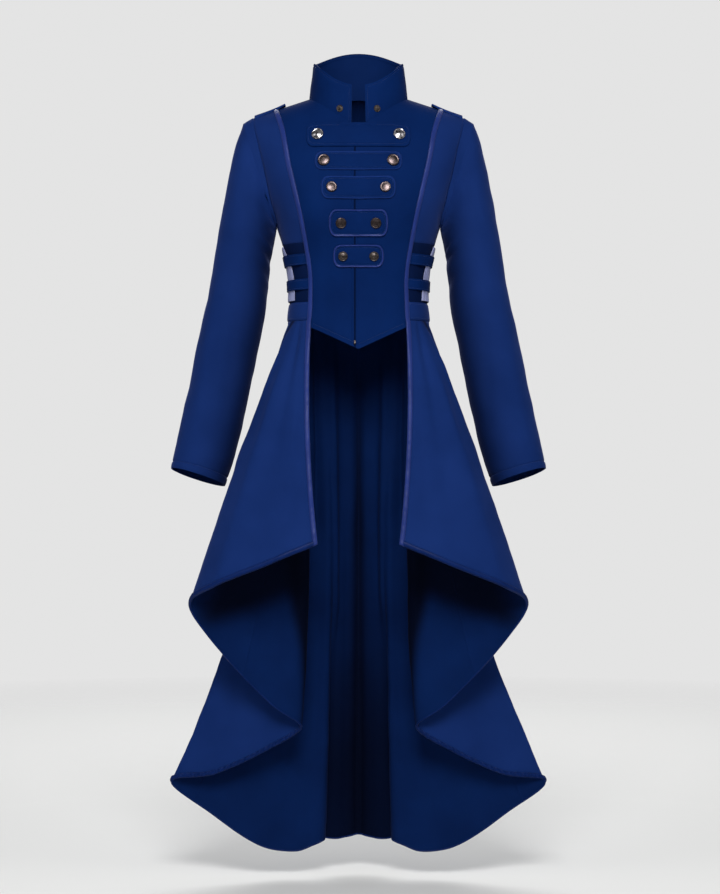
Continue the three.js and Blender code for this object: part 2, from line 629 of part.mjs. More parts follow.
// Satin piping over the seam from the shoulder to the waist and on down the skirt's front edge
function piping(side) {
  const stations = seamRows.slice(1, -1).map((z) => {
    const turn = turnAt(pipedX(z), z);
    const { round, out } = bodyAxes(turn, z);
    return { point: bodyPoint(turn, z), across: round, out };
  });
  for (let k = 1; k <= SKIRT_ROWS; k++) {
    const { along, out } = skirtAxes(0, k / SKIRT_ROWS);
    stations.push({ point: skirtPoint(0, k / SKIRT_ROWS), across: along, out });
  }
  addPiece("piping_" + side.name, sweptStrip(onSide(stations, side), stripSection(PIPING, 0)), navySatin);
}
const onSide = (stations, side) =>
  stations.map(({ point, across, out }) => ({
    point: mirrored(point, side.sign),
    across: mirrored(across, side.sign),
    out: mirrored(out, side.sign),
  }));
// A low crowned section, its middle at the given distance across
function stripSection({ width, gap, edge, crown }, middle) {
  return [
    [middle - width / 2, gap],
    [middle - width / 2, gap + edge],
    [middle, gap + crown],
    [middle + width / 2, gap + edge],
    [middle + width / 2, gap],
  ];
}

// Satin binding on the outer face along the whole hem
function hemBinding(side) {
  const stations = [];
  for (const panel of SKIRT_PANELS) {
    for (const fold of skirtColumns(panel)) {
      if (fold === 0) continue;
      const { down, out } = skirtAxes(fold, 1);
      stations.push({ point: skirtPoint(fold, 1), across: down.negate(), out });
    }
  }
  const startAt = stations[0];
  startAt.point.lerp(skirtPoint(0, 1), 0.72);
  const section = stripSection(BINDING, BINDING.width / 2 + SEAM);
  addPiece("hem_binding_" + side.name, sweptStrip(onSide(stations, side), section), navySatin);
}

// A patch laid on the body: edges as turns, its gap to the body and the wall above it at each place
function laidPatch(name, look, side, places, gapAt, wallAt) {
  const outer = [];
  const inner = [];
  for (const row of places) {
    const outerRow = [];
    const innerRow = [];
    for (const place of row) {
      const sign = place.turn < 0 ? -side.sign : side.sign;
      const turn = Math.abs(place.turn);
      const point = bodyPoint(turn, place.z);
      const out = bodyOut(turn, place.z);
      const gap = gapAt(place);
      innerRow.push(mirrored(point.clone().addScaledVector(out, gap), sign));
      outerRow.push(mirrored(point.addScaledVector(out, gap + wallAt(place)), sign));
    }
    outer.push(outerRow);
    inner.push(innerRow);
  }
  addPiece(name, wallBetween(outer, inner), look);
}

// Gathered satin at the side, under the straps
function satinPanel(side) {
  const ROWS = 4;
  const STEPS = 2 * GATHERS.count;
  const places = [];
  for (let k = 0; k <= ROWS; k++) {
    const z = lerp(YOKE_END_Z - 3, INSET_END_Z + 3, k / ROWS);
    const from = smoothColumn(SATIN_FRONT, "z", z, "turn");
    const to = sideSeamTurn(z) - 1.5;
    const row = [];
    for (let j = 0; j <= STEPS; j++) row.push({ turn: lerp(from, to, j / STEPS), z, crest: j % 2 });
    places.push(row);
  }
  const wall = (place) => SATIN_WALL + GATHERS.height * place.crest;
  laidPatch("satin_side_" + side.name, lilacSatin, side, places, () => LAID, wall);
}

// A strap across the inset, from the piping round to the side seam, over the satin
function strap(side, number) {
  const { z: middle, width } = STRAPS[number];
  const STEPS = 12;
  const over = LAID + SATIN_WALL + GATHERS.height + 0.5;
  const places = [middle + width / 2, middle - width / 2].map((z) => {
    const from = turnAt(pipedX(z) + PIPING.width / 2 + SEAM, z);
    const to = sideSeamTurn(z) - 0.6;
    const row = [];
    for (let j = 0; j <= STEPS; j++) row.push({ turn: lerp(from, to, j / STEPS), z, share: j / STEPS });
    return row;
  });
  const gap = (place) => LAID + over * THREE.MathUtils.smoothstep(place.share, 0, 0.17);
  laidPatch("strap_" + (number + 1) + "_" + side.name, navy, side, places, gap, () => STRAP_WALL);
}

// A tab across the closure, with rounded ends
function tab(number) {
  const { z: middle, half, height } = TABS[number];
  const ENDS = [0, 0.2, 0.5, 0.8, 1];
  const xs = [];
  for (const e of ENDS) xs.push(-half + TAB_ROUND * e);
  const straight = Math.max(4, Math.round((2 * (half - TAB_ROUND)) / 13));
  for (let j = 1; j < straight; j++) xs.push(lerp(-half + TAB_ROUND, half - TAB_ROUND, j / straight));
  for (const e of ENDS) xs.push(half - TAB_ROUND * (1 - e));
  const places = [1, 0.33, -0.33, -1].map((level) =>
    xs.map((x) => {
      const past = Math.max(0, (Math.abs(x) - (half - TAB_ROUND)) / TAB_ROUND);
      const tall = Math.max(0.28, (1 - past ** 2.6) ** (1 / 2.6));
      const z = middle + (level * tall * height) / 2;
      return { turn: Math.sign(x || 1) * turnAt(Math.abs(x), z), z };
    }),
  );
  const onRight = { name: "", sign: 1 };
  laidPatch("tab_" + (number + 1), navy, onRight, places, () => TAB_GAP, () => TAB_WALL);
}

// A shank button: a low dome with a rolled rim, turned on a lathe, its back flat
const BUTTON_SIDES = 14;
function buttonGeometry(size) {
  const r = size / 2;
  const profile = [
    [0, 0],
    [r * 0.94, 0],
    [r, r * 0.13],
    [r * 0.9, r * 0.3],
    [r * 0.78, r * 0.22],
    [r * 0.4, r * 0.3],
    [0, r * 0.33],
  ];
  const geometry = new THREE.LatheGeometry(
    profile.map(([x, y]) => new THREE.Vector2(x, y)),
    BUTTON_SIDES,
  );
  return geometry.rotateX(Math.PI / 2); // the lathe's axis, +Y, becomes +Z
}
function placeButton(name, size, seat, out) {
  const button = addPiece(name, buttonGeometry(size), nickel);
  button.position.copy(seat).addScaledVector(out, SEAM);
  button.quaternion.setFromUnitVectors(new THREE.Vector3(0, 0, 1), out);
}
function buttonPair(number) {
  const { z, button, buttonSize } = TABS[number];
  const turn = turnAt(button, z);
  for (const side of SIDES) {
    const out = bodyOut(turn, z);
    const seat = bodyPoint(turn, z).addScaledVector(out, TAB_GAP + TAB_WALL);
    const name = "button_" + (number + 1) + "_" + side.name;
    placeButton(name, buttonSize, mirrored(seat, side.sign), mirrored(out, side.sign));
  }
}
function collarButtons() {
  for (const side of SIDES) {
    const turn = side.sign * COLLAR_BUTTON.turn;
    const seat = collarPoint(turn, COLLAR_BUTTON.rise);
    const beside = collarPoint(turn + 1, COLLAR_BUTTON.rise).sub(collarPoint(turn - 1, COLLAR_BUTTON.rise));
    const above = collarPoint(turn, 1).sub(collarPoint(turn, 0));
    const out = beside.cross(above).normalize();
    if (out.y > 0) out.negate();
    placeButton("collar_button_" + side.name, COLLAR_BUTTON.size, seat, out);
  }
}

// A shoulder strap laid along the shoulder seam, its end by the neck lifted a little
function epaulette(side) {
  const E = { from: 174, to: 124, half: 17, lift: 3.5 };
  const ALONG = 5;
  const ACROSS = [-1, -0.5, 0, 0.5, 1];
  const outer = [];
  const inner = [];
  for (let i = 0; i <= ALONG; i++) {
    const share = i / ALONG;
    const x = lerp(E.from, E.to, share);
    const taper = share > 0.85 ? 0.72 : 1;
    const outerRow = [];
    const innerRow = [];
    for (const a of ACROSS) {
      const y = a * E.half * taper;
      const point = new THREE.Vector3(x, SPINE_Y + y, rolledZ(x, Math.abs(y), y < 0 ? "front" : "back"));
      const lifted = LAID + 0.4 + E.lift * share ** 3;
      innerRow.push(mirrored(point.clone().setZ(point.z + lifted), side.sign));
      outerRow.push(mirrored(point.clone().setZ(point.z + lifted + EPAULETTE_WALL), side.sign));
    }
    outer.push(outerRow);
    inner.push(innerRow);
  }
  addPiece("epaulette_" + side.name, wallBetween(outer, inner), navy);
}
// The zip's end, a small metal stop at the point of the front
function zipEnd() {
  const z = POINT.middle + 11;
  const x = -CLOSURE_X;
  const turn = turnAt(x, z);
  const out = mirrored(bodyOut(turn, z), -1);
  const stop = addPiece("zip_end", new THREE.BoxGeometry(4, 9, 2), nickel);
  stop.position.copy(mirrored(bodyPoint(turn, z), -1)).addScaledVector(out, LAID + 1);
  stop.up.set(0, 0, 1);
  const turned = new THREE.Matrix4();
  const upwards = new THREE.Vector3(0, 0, 1).addScaledVector(out, -out.z).normalize();
  turned.makeBasis(new THREE.Vector3().crossVectors(upwards, out), upwards, out);
  stop.quaternion.setFromRotationMatrix(turned);
}

for (const side of SIDES) {
  frontPanel(side);
  sideFront(side);
  sideStretch("side_inset_", side, seamRows.slice(YOKE_ROWS, YOKE_ROWS + INSET_ROWS + 1), navy);
  sideStretch("waist_band_", side, [INSET_END_Z, WAIST_Z], navy);
  backPanel(side);
  satinPanel(side);
  STRAPS.forEach((row, number) => strap(side, number));
  sleeve(side);
  epaulette(side);
  for (const panel of SKIRT_PANELS) skirtPanel(panel, side);
  piping(side);
  hemBinding(side);
}
collar();
TABS.forEach((row, number) => tab(number));
TABS.forEach((row, number) => buttonPair(number));
collarButtons();
zipEnd();

export default coat;
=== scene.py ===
# A long high-low tailcoat of brushed navy cloth, filled out as on a wearer but empty, built up in the
# order in which it is sewn. Left and right are the wearer's, and the wearer's left is +X.
import math
from functools import lru_cache

import bmesh
import bpy
from mathutils import Matrix, Vector, noise


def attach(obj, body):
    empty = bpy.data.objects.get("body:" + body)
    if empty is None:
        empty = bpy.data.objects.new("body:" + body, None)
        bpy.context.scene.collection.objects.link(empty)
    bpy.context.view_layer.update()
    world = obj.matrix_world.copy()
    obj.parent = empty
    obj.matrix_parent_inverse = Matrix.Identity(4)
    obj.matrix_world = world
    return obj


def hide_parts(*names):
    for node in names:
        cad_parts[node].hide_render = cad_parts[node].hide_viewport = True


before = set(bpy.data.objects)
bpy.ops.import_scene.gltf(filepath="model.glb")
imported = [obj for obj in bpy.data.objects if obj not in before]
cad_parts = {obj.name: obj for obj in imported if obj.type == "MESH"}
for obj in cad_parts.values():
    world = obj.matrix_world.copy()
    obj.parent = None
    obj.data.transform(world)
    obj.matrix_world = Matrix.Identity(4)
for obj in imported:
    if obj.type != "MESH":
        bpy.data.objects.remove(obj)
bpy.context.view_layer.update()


# The fronts. Each is cut in one of brushed navy twill from the neck and shoulder to the pointed hem,
# and they meet in a lapped closure. The figure they lie on is given by a ring at each height, and
# all measures are in millimetres, as on a paper pattern, until a finished mesh is scaled to metres.
MM = 0.001
SIDES = (("right", -1), ("left", 1))
CLOTH = 2.0
ALLOWANCE = 0.4  # how far each piece reaches past its seam line, under its neighbour
ROUNDNESS = 2.4  # exponent of each ring: 2 is an ellipse, more is squarer
SPINE_Y = 6.0
NECK = {"half": 83.5, "side": 1.0, "front": 80.0, "back": 48.0, "flare": 1.5}
SHOULDER = {"slope": 0.325, "tip": 179.0, "front": 85.0, "back": 75.0}
CUP = {"x": 70.0, "z": -188.0, "wide": 52.0, "high": 60.0, "out": 16.0}
CLOSURE_X = -6.0
POINT = {"side": -388.5, "middle": -427.0}
PLACKET = 5.4  # from the closure to the stitching beside it
HEM_STITCH = 8.0
# Widths and depths of the ditches that stitching presses, of the closure's ridge, and of the painted
# shade along the closure
DITCH = {"placket": (0.9, 0.7), "hem": (1.0, 0.6)}
RIDGE = {"at": 2.8, "width": 1.6, "high": 0.45}
CLOSURE_SHADE = {"tone": 0.9, "width": 1.3}


def table(columns, *rows):
    """Rows of measures, with what each column holds named once"""
    return [dict(zip(columns.split(), row)) for row in rows]


RINGS = table(
    "z half front back",
    (40, 200, 80, 92),
    (-30, 198, 84, 96),
    (-90, 181, 98, 102),
    (-160, 160.5, 108, 102),
    (-217, 139, 108, 98),
    (-255, 127.5, 103, 94),
    (-290, 119.5, 98, 91),
    (-332, 117, 93, 90),
    (-377, 121, 93, 94),
    (-440, 130, 99, 102),
)
PIPED_SEAM = table(
    "z x",
    (-17, 141), (-55, 128.5), (-119, 116), (-189, 99.5), (-246, 88.5), (-299, 80.5), (-351, 80.5),
    (-390, 82.6),
)
# Soft creases of the coat's body, as (distance round from the centre front, height) at both ends,
# then their width and how far they stand out or sink in
BODY_CREASES = {
    "right": (
        ((180, -238), (126, -172), 11, -1.9),
        ((172, -214), (136, -126), 10, -1.5),
        ((158, -160), (146, -78), 13, -1.1),
        ((96, -236), (88, -330), 9, -1.0),
        ((64, -286), (60, -384), 10, 0.8),
        ((24, -300), (20, -404), 8, -0.7),
        ((330, -70), (322, -190), 22, 1.2),
        ((296, -110), (312, -286), 15, -1.9),
        ((352, -262), (262, -300), 9, -1.7),
        ((360, -306), (284, -322), 8, -1.4),
        ((352, -352), (300, -346), 7, -1.0),
    ),
    "left": (
        ((181, -232), (130, -180), 10, -1.7),
        ((170, -206), (138, -138), 11, -1.6),
        ((160, -150), (150, -66), 12, -0.9),
        ((92, -248), (84, -346), 8, -1.2),
        ((58, -292), (62, -372), 9, 0.7),
        ((22, -290), (26, -398), 7, -0.6),
        ((332, -86), (326, -204), 20, 1.1),
        ((300, -124), (308, -296), 14, -1.8),
        ((356, -276), (268, -292), 9, -1.8),
        ((350, -318), (280, -330), 8, -1.2),
        ((362, -356), (312, -352), 6, -0.8),
    ),
}
ARC = 2.1  # millimetres round the coat in one degree of turn
BODY_SLUBS = ((34, 0.7), (11, 0.18))
SETTLED = (4, 60)  # how far below the shoulder seam the body's creases begin and are full


def lerp(a, b, share):
    return a + (b - a) * share


def clamp(value):
    return min(max(value, 0.0), 1.0)


def ease(value, start, end):
    share = clamp((value - start) / (end - start))
    return share * share * (3 - 2 * share)


def near(value, middle, width):
    """1 at the middle, falling softly to nothing at about twice the width from it"""
    return math.exp(-(((value - middle) / width) ** 2))


def groove(distance, place, width, depth):
    return -depth * near(distance, place, width)


def sin_cos(degrees):
    return math.sin(math.radians(degrees)), math.cos(math.radians(degrees))


def flip(point, sign):
    """A point of the wearer's left half, mirrored where the sign is -1"""
    return Vector((sign * point.x, point.y, point.z))


def curve(rows, key, column):
    """One column of a table as a smooth function of its key column, read between the rows"""
    keys = [row[key] for row in rows]
    values = [row[column] for row in rows]
    falling = keys[0] > keys[-1]
    last = len(rows) - 2

    def slope(a, b):
        return (values[b] - values[a]) / (keys[b] - keys[a])

    @lru_cache(maxsize=None)
    def at(place):
        i = 0
        while i < last and (keys[i + 1] >= place if falling else keys[i + 1] <= place):
            i += 1
        middle = slope(i, i + 1)
        before = slope(i - 1, i) if i > 0 else middle
        after = slope(i + 1, i + 2) if i < last else middle
        run = keys[i + 1] - keys[i]
        t = clamp((place - keys[i]) / run)
        enter = run * (before + middle) / 2
        leave = run * (middle + after) / 2
        start = values[i] * (1 - t) ** 2 * (1 + 2 * t) + enter * t * (1 - t) ** 2
        return start + values[i + 1] * t * t * (3 - 2 * t) - leave * t * t * (1 - t)

    return at


ring_half = curve(RINGS, "z", "half")
ring_depth = {way: curve(RINGS, "z", way) for way in ("front", "back")}
piped_x = curve(PIPED_SEAM, "z", "x")


def ridge_z(x):
    """Height of the shoulder seam; it levels off under the collar"""
    if x > NECK["half"]:
        return NECK["side"] - SHOULDER["slope"] * (x - NECK["half"])
    rise = SHOULDER["slope"] * NECK["half"] * (1 - (x / NECK["half"]) ** NECK["flare"])
    return NECK["side"] + rise / NECK["flare"]


def rolled_z(x, reach, way):
    """Height at which the rolled shoulder has come forward, or back, by this reach"""
    ridge = ridge_z(x)
    round_share = (1 - min(x / ring_half(ridge), 1) ** ROUNDNESS) ** (1 / ROUNDNESS)
    share = min(reach / (ring_depth[way](ridge) * round_share), 1)
    return ridge - SHOULDER[way] * (1 - math.sqrt(1 - share**2))


def neck_z(x, way):
    return rolled_z(x, NECK[way] * math.sqrt(max(0, 1 - (x / NECK["half"]) ** 2)), way)


def turn_at(x, z, back=False):
    """Degrees round a ring, from the centre front, of a distance x from the middle"""
    turn = math.degrees(math.asin(min(x / ring_half(z), 1) ** (ROUNDNESS / 2)))
    return 180 - turn if back else turn


def x_at(turn, z):
    return ring_half(z) * abs(math.sin(math.radians(turn))) ** (2 / ROUNDNESS)


def body_form(turn, z):
    """The outer face of the coat's left half without its creases"""
    x = x_at(turn, z)
    ahead = math.cos(math.radians(turn))
    way = "front" if ahead >= 0 else "back"
    below = clamp((ridge_z(x) - z) / SHOULDER[way])
    roll = math.sqrt(1 - (1 - below) ** 2)
    reach = ring_depth[way](z) * abs(ahead) ** (2 / ROUNDNESS) * roll
    if way == "front":
        cup = ((x - CUP["x"]) / CUP["wide"]) ** 2 + ((z - CUP["z"]) / CUP["high"]) ** 2
        reach += CUP["out"] * math.exp(-cup) * roll
        reach *= min(1, abs(ahead) * 6)
    return Vector((x, SPINE_Y - reach if way == "front" else SPINE_Y + reach, z))


def soft_creases(rows, across, height):
    """How far the creases of a table stand out at a place, each fading towards its ends"""
    total = 0.0
    for (a0, h0), (a1, h1), width, depth in rows:
        da, dh = a1 - a0, h1 - h0
        t = clamp(((across - a0) * da + (height - h0) * dh) / (da * da + dh * dh))
        apart = (across - a0 - t * da) ** 2 + (height - h0 - t * dh) ** 2
        if apart < 9 * width * width:
            total += depth * math.sin(math.pi * (0.1 + 0.8 * t)) * math.exp(-apart / width**2)
    return total


def slub(point, *layers):
    """The slight unevenness of hung cloth, as layers of soft bumps of a size and a height"""
    return sum(height * noise.noise(Vector(point) / size) for size, height in layers)


@lru_cache(maxsize=None)
def body_point(side, turn, z):
    """The coat's outer face with its creases; x is positive on both halves"""
    point = body_form(turn, z)
    s, c = sin_cos(turn)
    bend = 2 * (ROUNDNESS - 1) / ROUNDNESS
    depth = ring_depth["front" if c >= 0 else "back"](z)
    out = Vector((abs(s) ** bend / ring_half(z), math.copysign(abs(c) ** bend, -c) / depth, 0))
    sign = 1 if side == "left" else -1
    relief = soft_creases(BODY_CREASES[side], turn * ARC, z)
    relief += slub((sign * point.x, point.y, z), *BODY_SLUBS)
    return point + out.normalized() * relief * ease(ridge_z(point.x) - z, *SETTLED)


def body_axes(side, turn, z):
    """Unit vectors round the coat and out of its face"""
    drop = ridge_z(x_at(turn, z)) - z

    def aside(step):
        height = z
        for _ in range(3):
            height = ridge_z(x_at(turn + step, height)) - drop
        return body_point(side, turn + step, height)

    step, fall = 0.5, 0.3
    around = aside(0 if turn > 179 else step) - aside(0 if turn < 1 else -step)
    down = body_point(side, turn, z - fall) - body_point(side, turn, z + (fall if drop > fall else 0))
    out = down.cross(around).normalized()
    if out.dot(body_point(side, turn, z) - Vector((0, SPINE_Y, z - 60))) < 0:
        out.negate()
    if turn < 1 or turn > 179:
        out.x = 0
    return around.normalized(), out.normalized()


def laid(side, turn, z, lift):
    """A point this far above the coat's face, for what is sewn on it"""
    return body_point(side, turn, z) + body_axes(side, turn, z)[1] * lift


ROLLED = 1.9  # how far in from a sewn edge the cloth rolls over
UNSEWN = 99  # stands for no sewn edge nearby
RIM = {"width": 0.55, "sharper": 50}  # of the rounded cut edge, in millimetres and degrees
CROWDED = 0.11


def crowd(share):
    """Moves evenly spaced lines closer together towards both edges of a piece"""
    return share - CROWDED * math.sin(2 * math.pi * share)


def set_up(name, bm, finishes):
    """Makes an object of a mesh in millimetres, riding on the coat"""
    bmesh.ops.scale(bm, vec=(MM, MM, MM), verts=bm.verts)
    mesh = bpy.data.meshes.new("sewn_" + name)
    bm.to_mesh(mesh)
    bm.free()
    for look in finishes:
        mesh.materials.append(look)
    mesh.shade_smooth()
    piece = bpy.data.objects.new("sewn_" + name, mesh)
    bpy.context.scene.collection.objects.link(piece)
    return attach(piece, "root")


def cut_cloth(
    name, across, down, place, finishes, turned, sewn="", tube=False, wall=CLOTH, roll=0.9, painted_shade=None
):
    """A cut piece as a thin shell: a grid laid on the form by place(u, v), with the weave measured
    along it. Its sewn edges roll in: a and b where u starts and ends, t and h at top and hem. turned is
    for a piece whose place mirrors the left one, and the last argument gives, at (u, v), how much
    painted shade darkens a place, on the face and on the reverse"""
    bm = bmesh.new()
    bmesh.ops.create_grid(bm, x_segments=across, y_segments=down, size=0.5)
    weave = bm.loops.layers.uv.new("weave")
    painted_face_shade = bm.verts.layers.float.new("painted_face_shade")
    painted_reverse_shade = bm.verts.layers.float.new("painted_shade")
    cell = {v: (round((v.co.x + 0.5) * across), round((0.5 - v.co.y) * down)) for v in bm.verts}
    at, along, fall = {}, {}, {}
    for vert, (i, j) in cell.items():
        u, v = i / across if tube else crowd(i / across), crowd(j / down)
        vert.co = place(u, v)
        # Painted shade, on the face and on the reverse, kept on each point for the cloth's colour
        vert[painted_face_shade], vert[painted_reverse_shade] = painted_shade(u, v) if painted_shade else (0.0, 0.0)
        at[i, j] = vert.co.copy()
    for j in range(down + 1):
        for i in range(across + 1):
            along[i, j] = along[i - 1, j] + (at[i, j] - at[i - 1, j]).length if i else 0.0
            fall[i, j] = fall[i, j - 1] + (at[i, j] - at[i, j - 1]).length if j else 0.0
    for face in bm.faces:
        for loop in face.loops:
            i, j = cell[loop.vert]
            loop[weave].uv = (along[i, j] * MM, -fall[i, j] * MM)
    if turned:
        bmesh.ops.reverse_faces(bm, faces=bm.faces)
    bm.normal_update()
    for vert, (i, j) in cell.items():
        edges = (along[i, j], along[across, j] - along[i, j], fall[i, j], fall[i, down] - fall[i, j])
        edge = min([far for letter, far in zip("abth", edges) if letter in sewn], default=UNSEWN)
        vert.co -= vert.normal * roll * near(edge, 0, ROLLED)
    if tube:
        bmesh.ops.remove_doubles(bm, verts=bm.verts, dist=0.01)
    piece = set_up(name, bm, finishes)
    shell = piece.modifiers.new("wall", "SOLIDIFY")
    shell.thickness = wall * MM
    shell.offset = -1
    shell.material_offset = len(finishes) - 1
    rim = piece.modifiers.new("turned edge", "BEVEL")
    rim.width = RIM["width"] * MM
    rim.segments = 2
    rim.limit_method = "ANGLE"
    rim.angle_limit = math.radians(RIM["sharper"])
    return piece


def finish(name, base, roughness, sheen=0.0, tint=(1, 1, 1), metallic=0.0, specular=0.5):
    """A material with its constant values on the shader; returns it, its node tree and its shader"""
    made = bpy.data.materials.new(name)
    made.use_nodes = True
    skin = made.node_tree.nodes["Principled BSDF"]
    constants = {
        "Base Color": (*base, 1),
        "Roughness": roughness,
        "Metallic": metallic,
        "Specular IOR Level": specular,
        "Sheen Weight": sheen,
        "Sheen Roughness": 0.4,
        "Sheen Tint": (*tint, 1),
    }
    for key, value in constants.items():
        skin.inputs[key].default_value = value
    return made, made.node_tree, skin


def node(tree, kind, **values):
    """Adds a shader node with these values on its inputs"""
    made = tree.nodes.new("ShaderNode" + kind)
    for key, value in values.items():
        made.inputs[key.replace("_", " ")].default_value = value
    return made


def link(tree, source, output, target, socket):
    tree.links.new(source.outputs[output], target.inputs[socket])


def woven(tree):
    """The measures along a piece's weave"""
    weave = node(tree, "UVMap")
    weave.uv_map = "weave"
    return weave


def patchy(tree, socket, light, dark, scale, stretch=(1, 1, 1), stops=(0.3, 0.7)):
    """Colours a socket with soft patches between two tones"""
    where = node(tree, "TexCoord")
    spread = node(tree, "Mapping", Scale=stretch)
    cloud = node(tree, "TexNoise", Scale=scale, Detail=4)
    tones = node(tree, "ValToRGB")
    for stop, place, tone in zip(tones.color_ramp.elements, stops, (dark, light)):
        stop.position = place
        stop.color = (*tone, 1)
    link(tree, where, "Object", spread, "Vector")
    link(tree, spread, "Vector", cloud, "Vector")
    link(tree, cloud, "Fac", tones, "Fac")
    tree.links.new(tones.outputs["Color"], socket)


BLUE_NAP = (0.34, 0.42, 1.0)


def brushed_cloth(name, light, dark, sheen, nap, shade_attribute="painted_face_shade"):
    """Brushed twill: fine diagonal ribs half hidden by a nap, in soft patches of two tones, and
    darkened by painted shade where a piece's attribute marks it"""
    made, tree, skin = finish(name, light, 0.80, sheen, BLUE_NAP, specular=0.04)
    # Painted shade: the named attribute darkens the base colour towards a near black of the dark tone
    painted_shade = node(tree, "Attribute")
    painted_shade.attribute_name = shade_attribute
    shade_darkened = node(tree, "Mix")
    shade_darkened.data_type = "RGBA"
    shade_darkened.inputs["B"].default_value = (dark[0] * 0.2, dark[1] * 0.16, dark[2] * 0.16, 1)
    patchy(tree, shade_darkened.inputs["A"], light, dark, 11)
    ribs = node(tree, "TexWave", Scale=420, Distortion=0.6)
    ribs.bands_direction = "DIAGONAL"
    fuzz = node(tree, "TexNoise", Scale=1100, Detail=3)
    ribbed = node(tree, "Bump", Strength=0.35, Distance=0.12 * MM)
    napped = node(tree, "Bump", Strength=nap, Distance=0.3 * MM)
    link(tree, painted_shade, "Fac", shade_darkened, "Factor")
    link(tree, shade_darkened, "Result", skin, "Base Color")
    link(tree, woven(tree), "UV", ribs, "Vector")
    link(tree, node(tree, "TexCoord"), "Object", fuzz, "Vector")
    link(tree, ribs, "Fac", ribbed, "Height")
    link(tree, fuzz, "Fac", napped, "Height")
    link(tree, ribbed, "Normal", napped, "Normal")
    link(tree, napped, "Normal", skin, "Normal")
    return made


NAVY = brushed_cloth("brushed navy", (0.0058, 0.0225, 0.118), (0.0038, 0.0172, 0.094), 0.10, 0.5)
PRESSED = brushed_cloth("pressed navy", (0.0009, 0.0130, 0.078), (0.0005, 0.0096, 0.060), 0.025, 0.35)
# The reverse is darker than the face, partly in its own plainer tone and partly as painted shade of the
# coat's inside; more painted shade darkens it where a piece marks it
REVERSE = brushed_cloth(
    "navy reverse", (0.0016, 0.0128, 0.072), (0.0010, 0.0092, 0.054), 0.02, 0.25, "painted_shade"
)
COAT = (NAVY, REVERSE)
FIRM = (PRESSED, REVERSE)  # interlined and pressed, so its nap lies flat


def roll_z(share, top, bottom, way="front"):
    """Heights down a panel: evenly over the rolled shoulder, then straight down"""
    fall = SHOULDER[way]
    run = share * (fall * math.pi / 2 + top - fall - bottom)
    if run < fall * math.pi / 2:
        return top - fall * (1 - math.cos(run / fall))
    return top - fall - (run - fall * math.pi / 2)


def settled_z(turn, start, height_of_x):
    z = start
    for _ in range(6):
        z = height_of_x(x_at(abs(turn), z))
    return z


def between(side, inner, outer, top=None, bottom=None):
    """Lays a panel between two edges, each a function of the share down it that gives a turn and a
    height, with curved edges at the top and bottom where their height is a function of x"""
    sign = 1 if side == "left" else -1
    ends = [inner(0), outer(0), inner(1), outer(1)]

    @lru_cache(maxsize=None)
    def lifted(u):
        up, down = lerp(ends[0][1], ends[1][1], u), lerp(ends[2][1], ends[3][1], u)
        return (
            settled_z(lerp(ends[0][0], ends[1][0], u), up, top) - up if top else 0.0,
            settled_z(lerp(ends[2][0], ends[3][0], u), down, bottom) - down if bottom else 0.0,
        )

    def place(u, v):
        (turn_a, z_a), (turn_b, z_b) = inner(v), outer(v)
        share = (ends[0][1] - z_a) / (ends[0][1] - ends[2][1])
        turn = lerp(turn_a, turn_b, u)
        z = lerp(z_a, z_b, u) + (1 - share) * lifted(u)[0] + share * lifted(u)[1]
        point = body_point(side, abs(turn), z)
        return flip(point, sign if turn >= 0 else -sign)

    return place


def sew_in(piece, flat, area, replaced=None):
    """Puts a piece of cloth in place of the solid of its name, or of those named, by hiding them.
    flat and area, the width, length and area it was cut to, in metres, are not used"""
    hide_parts(*(replaced or [piece.name.removeprefix("sewn_")]))


def top_z(x):
    return neck_z(x, "front") if x < NECK["half"] else ridge_z(x)


seam_top = ridge_z(piped_x(-17))


def outer_x(z):
    return piped_x(z) + ALLOWANCE


def pointed_hem(x):
    return lerp(POINT["middle"], POINT["side"], min(x / outer_x(POINT["side"]), 1))


for side, sign in SIDES:
    edge_x = sign * CLOSURE_X - ALLOWANCE

    def closure(v, edge_x=edge_x):
        z = roll_z(v, top_z(abs(edge_x)), POINT["middle"])
        return math.copysign(turn_at(abs(edge_x), z), edge_x), z

    def piped(v):
        z = roll_z(v, seam_top, POINT["side"])
        return turn_at(outer_x(z), z), z

    panel = between(side, closure, piped, top_z, pointed_hem)

    def faced(u, v, panel=panel):
        """The front with the ridges of its faced closure and of its turned hem"""
        point = panel(u, v)
        from_closure = abs(point.x - CLOSURE_X)
        from_hem = point.z - pointed_hem(abs(point.x))
        full = RIDGE["high"] * near(from_closure, RIDGE["at"], RIDGE["width"])
        full += groove(from_closure, PLACKET, *DITCH["placket"])
        full += groove(from_hem, HEM_STITCH, *DITCH["hem"])
        return point + Vector((0, -full, 0))

    def closure_shade(u, v, panel=panel):
        """Painted shade: the cloth is darkened along the closure, where the gap between the meeting
        edges lies in shade
        """
        return CLOSURE_SHADE["tone"] * near(panel(u, v).x, CLOSURE_X, CLOSURE_SHADE["width"]), 0.0

    front = cut_cloth("front_" + side, 60, 110, faced, FIRM, sign < 0, "ab", painted_shade=closure_shade)
    sew_in(front, (0.160, 0.445), 0.050)


# The side fronts, from the shoulder to the strapped inset, joined to the fronts under the piping and
# to the sleeve round the armhole. The cloth is the fronts'.
YOKE_END_Z = -249.0
ARMPIT_Z = -217.0
ARMHOLE = table(
    "z x",
    (-30, 179), (-46, 177), (-88, 167), (-130, 158.5), (-170, 150.3), (-200, 142.4), (-211, 139.6),
    (-217, 139),
)
SIDE_SEAM = table("z turn", (-217, 90), (-249, 102), (-300, 111), (-377, 114))
ALLOWANCE_TURN = 0.2
ARMHOLE_SHARE = 0.88  # how much of a side front's length lies on the armhole
armhole_x = curve(ARMHOLE, "z", "x")
side_turn = curve(SIDE_SEAM, "z", "turn")


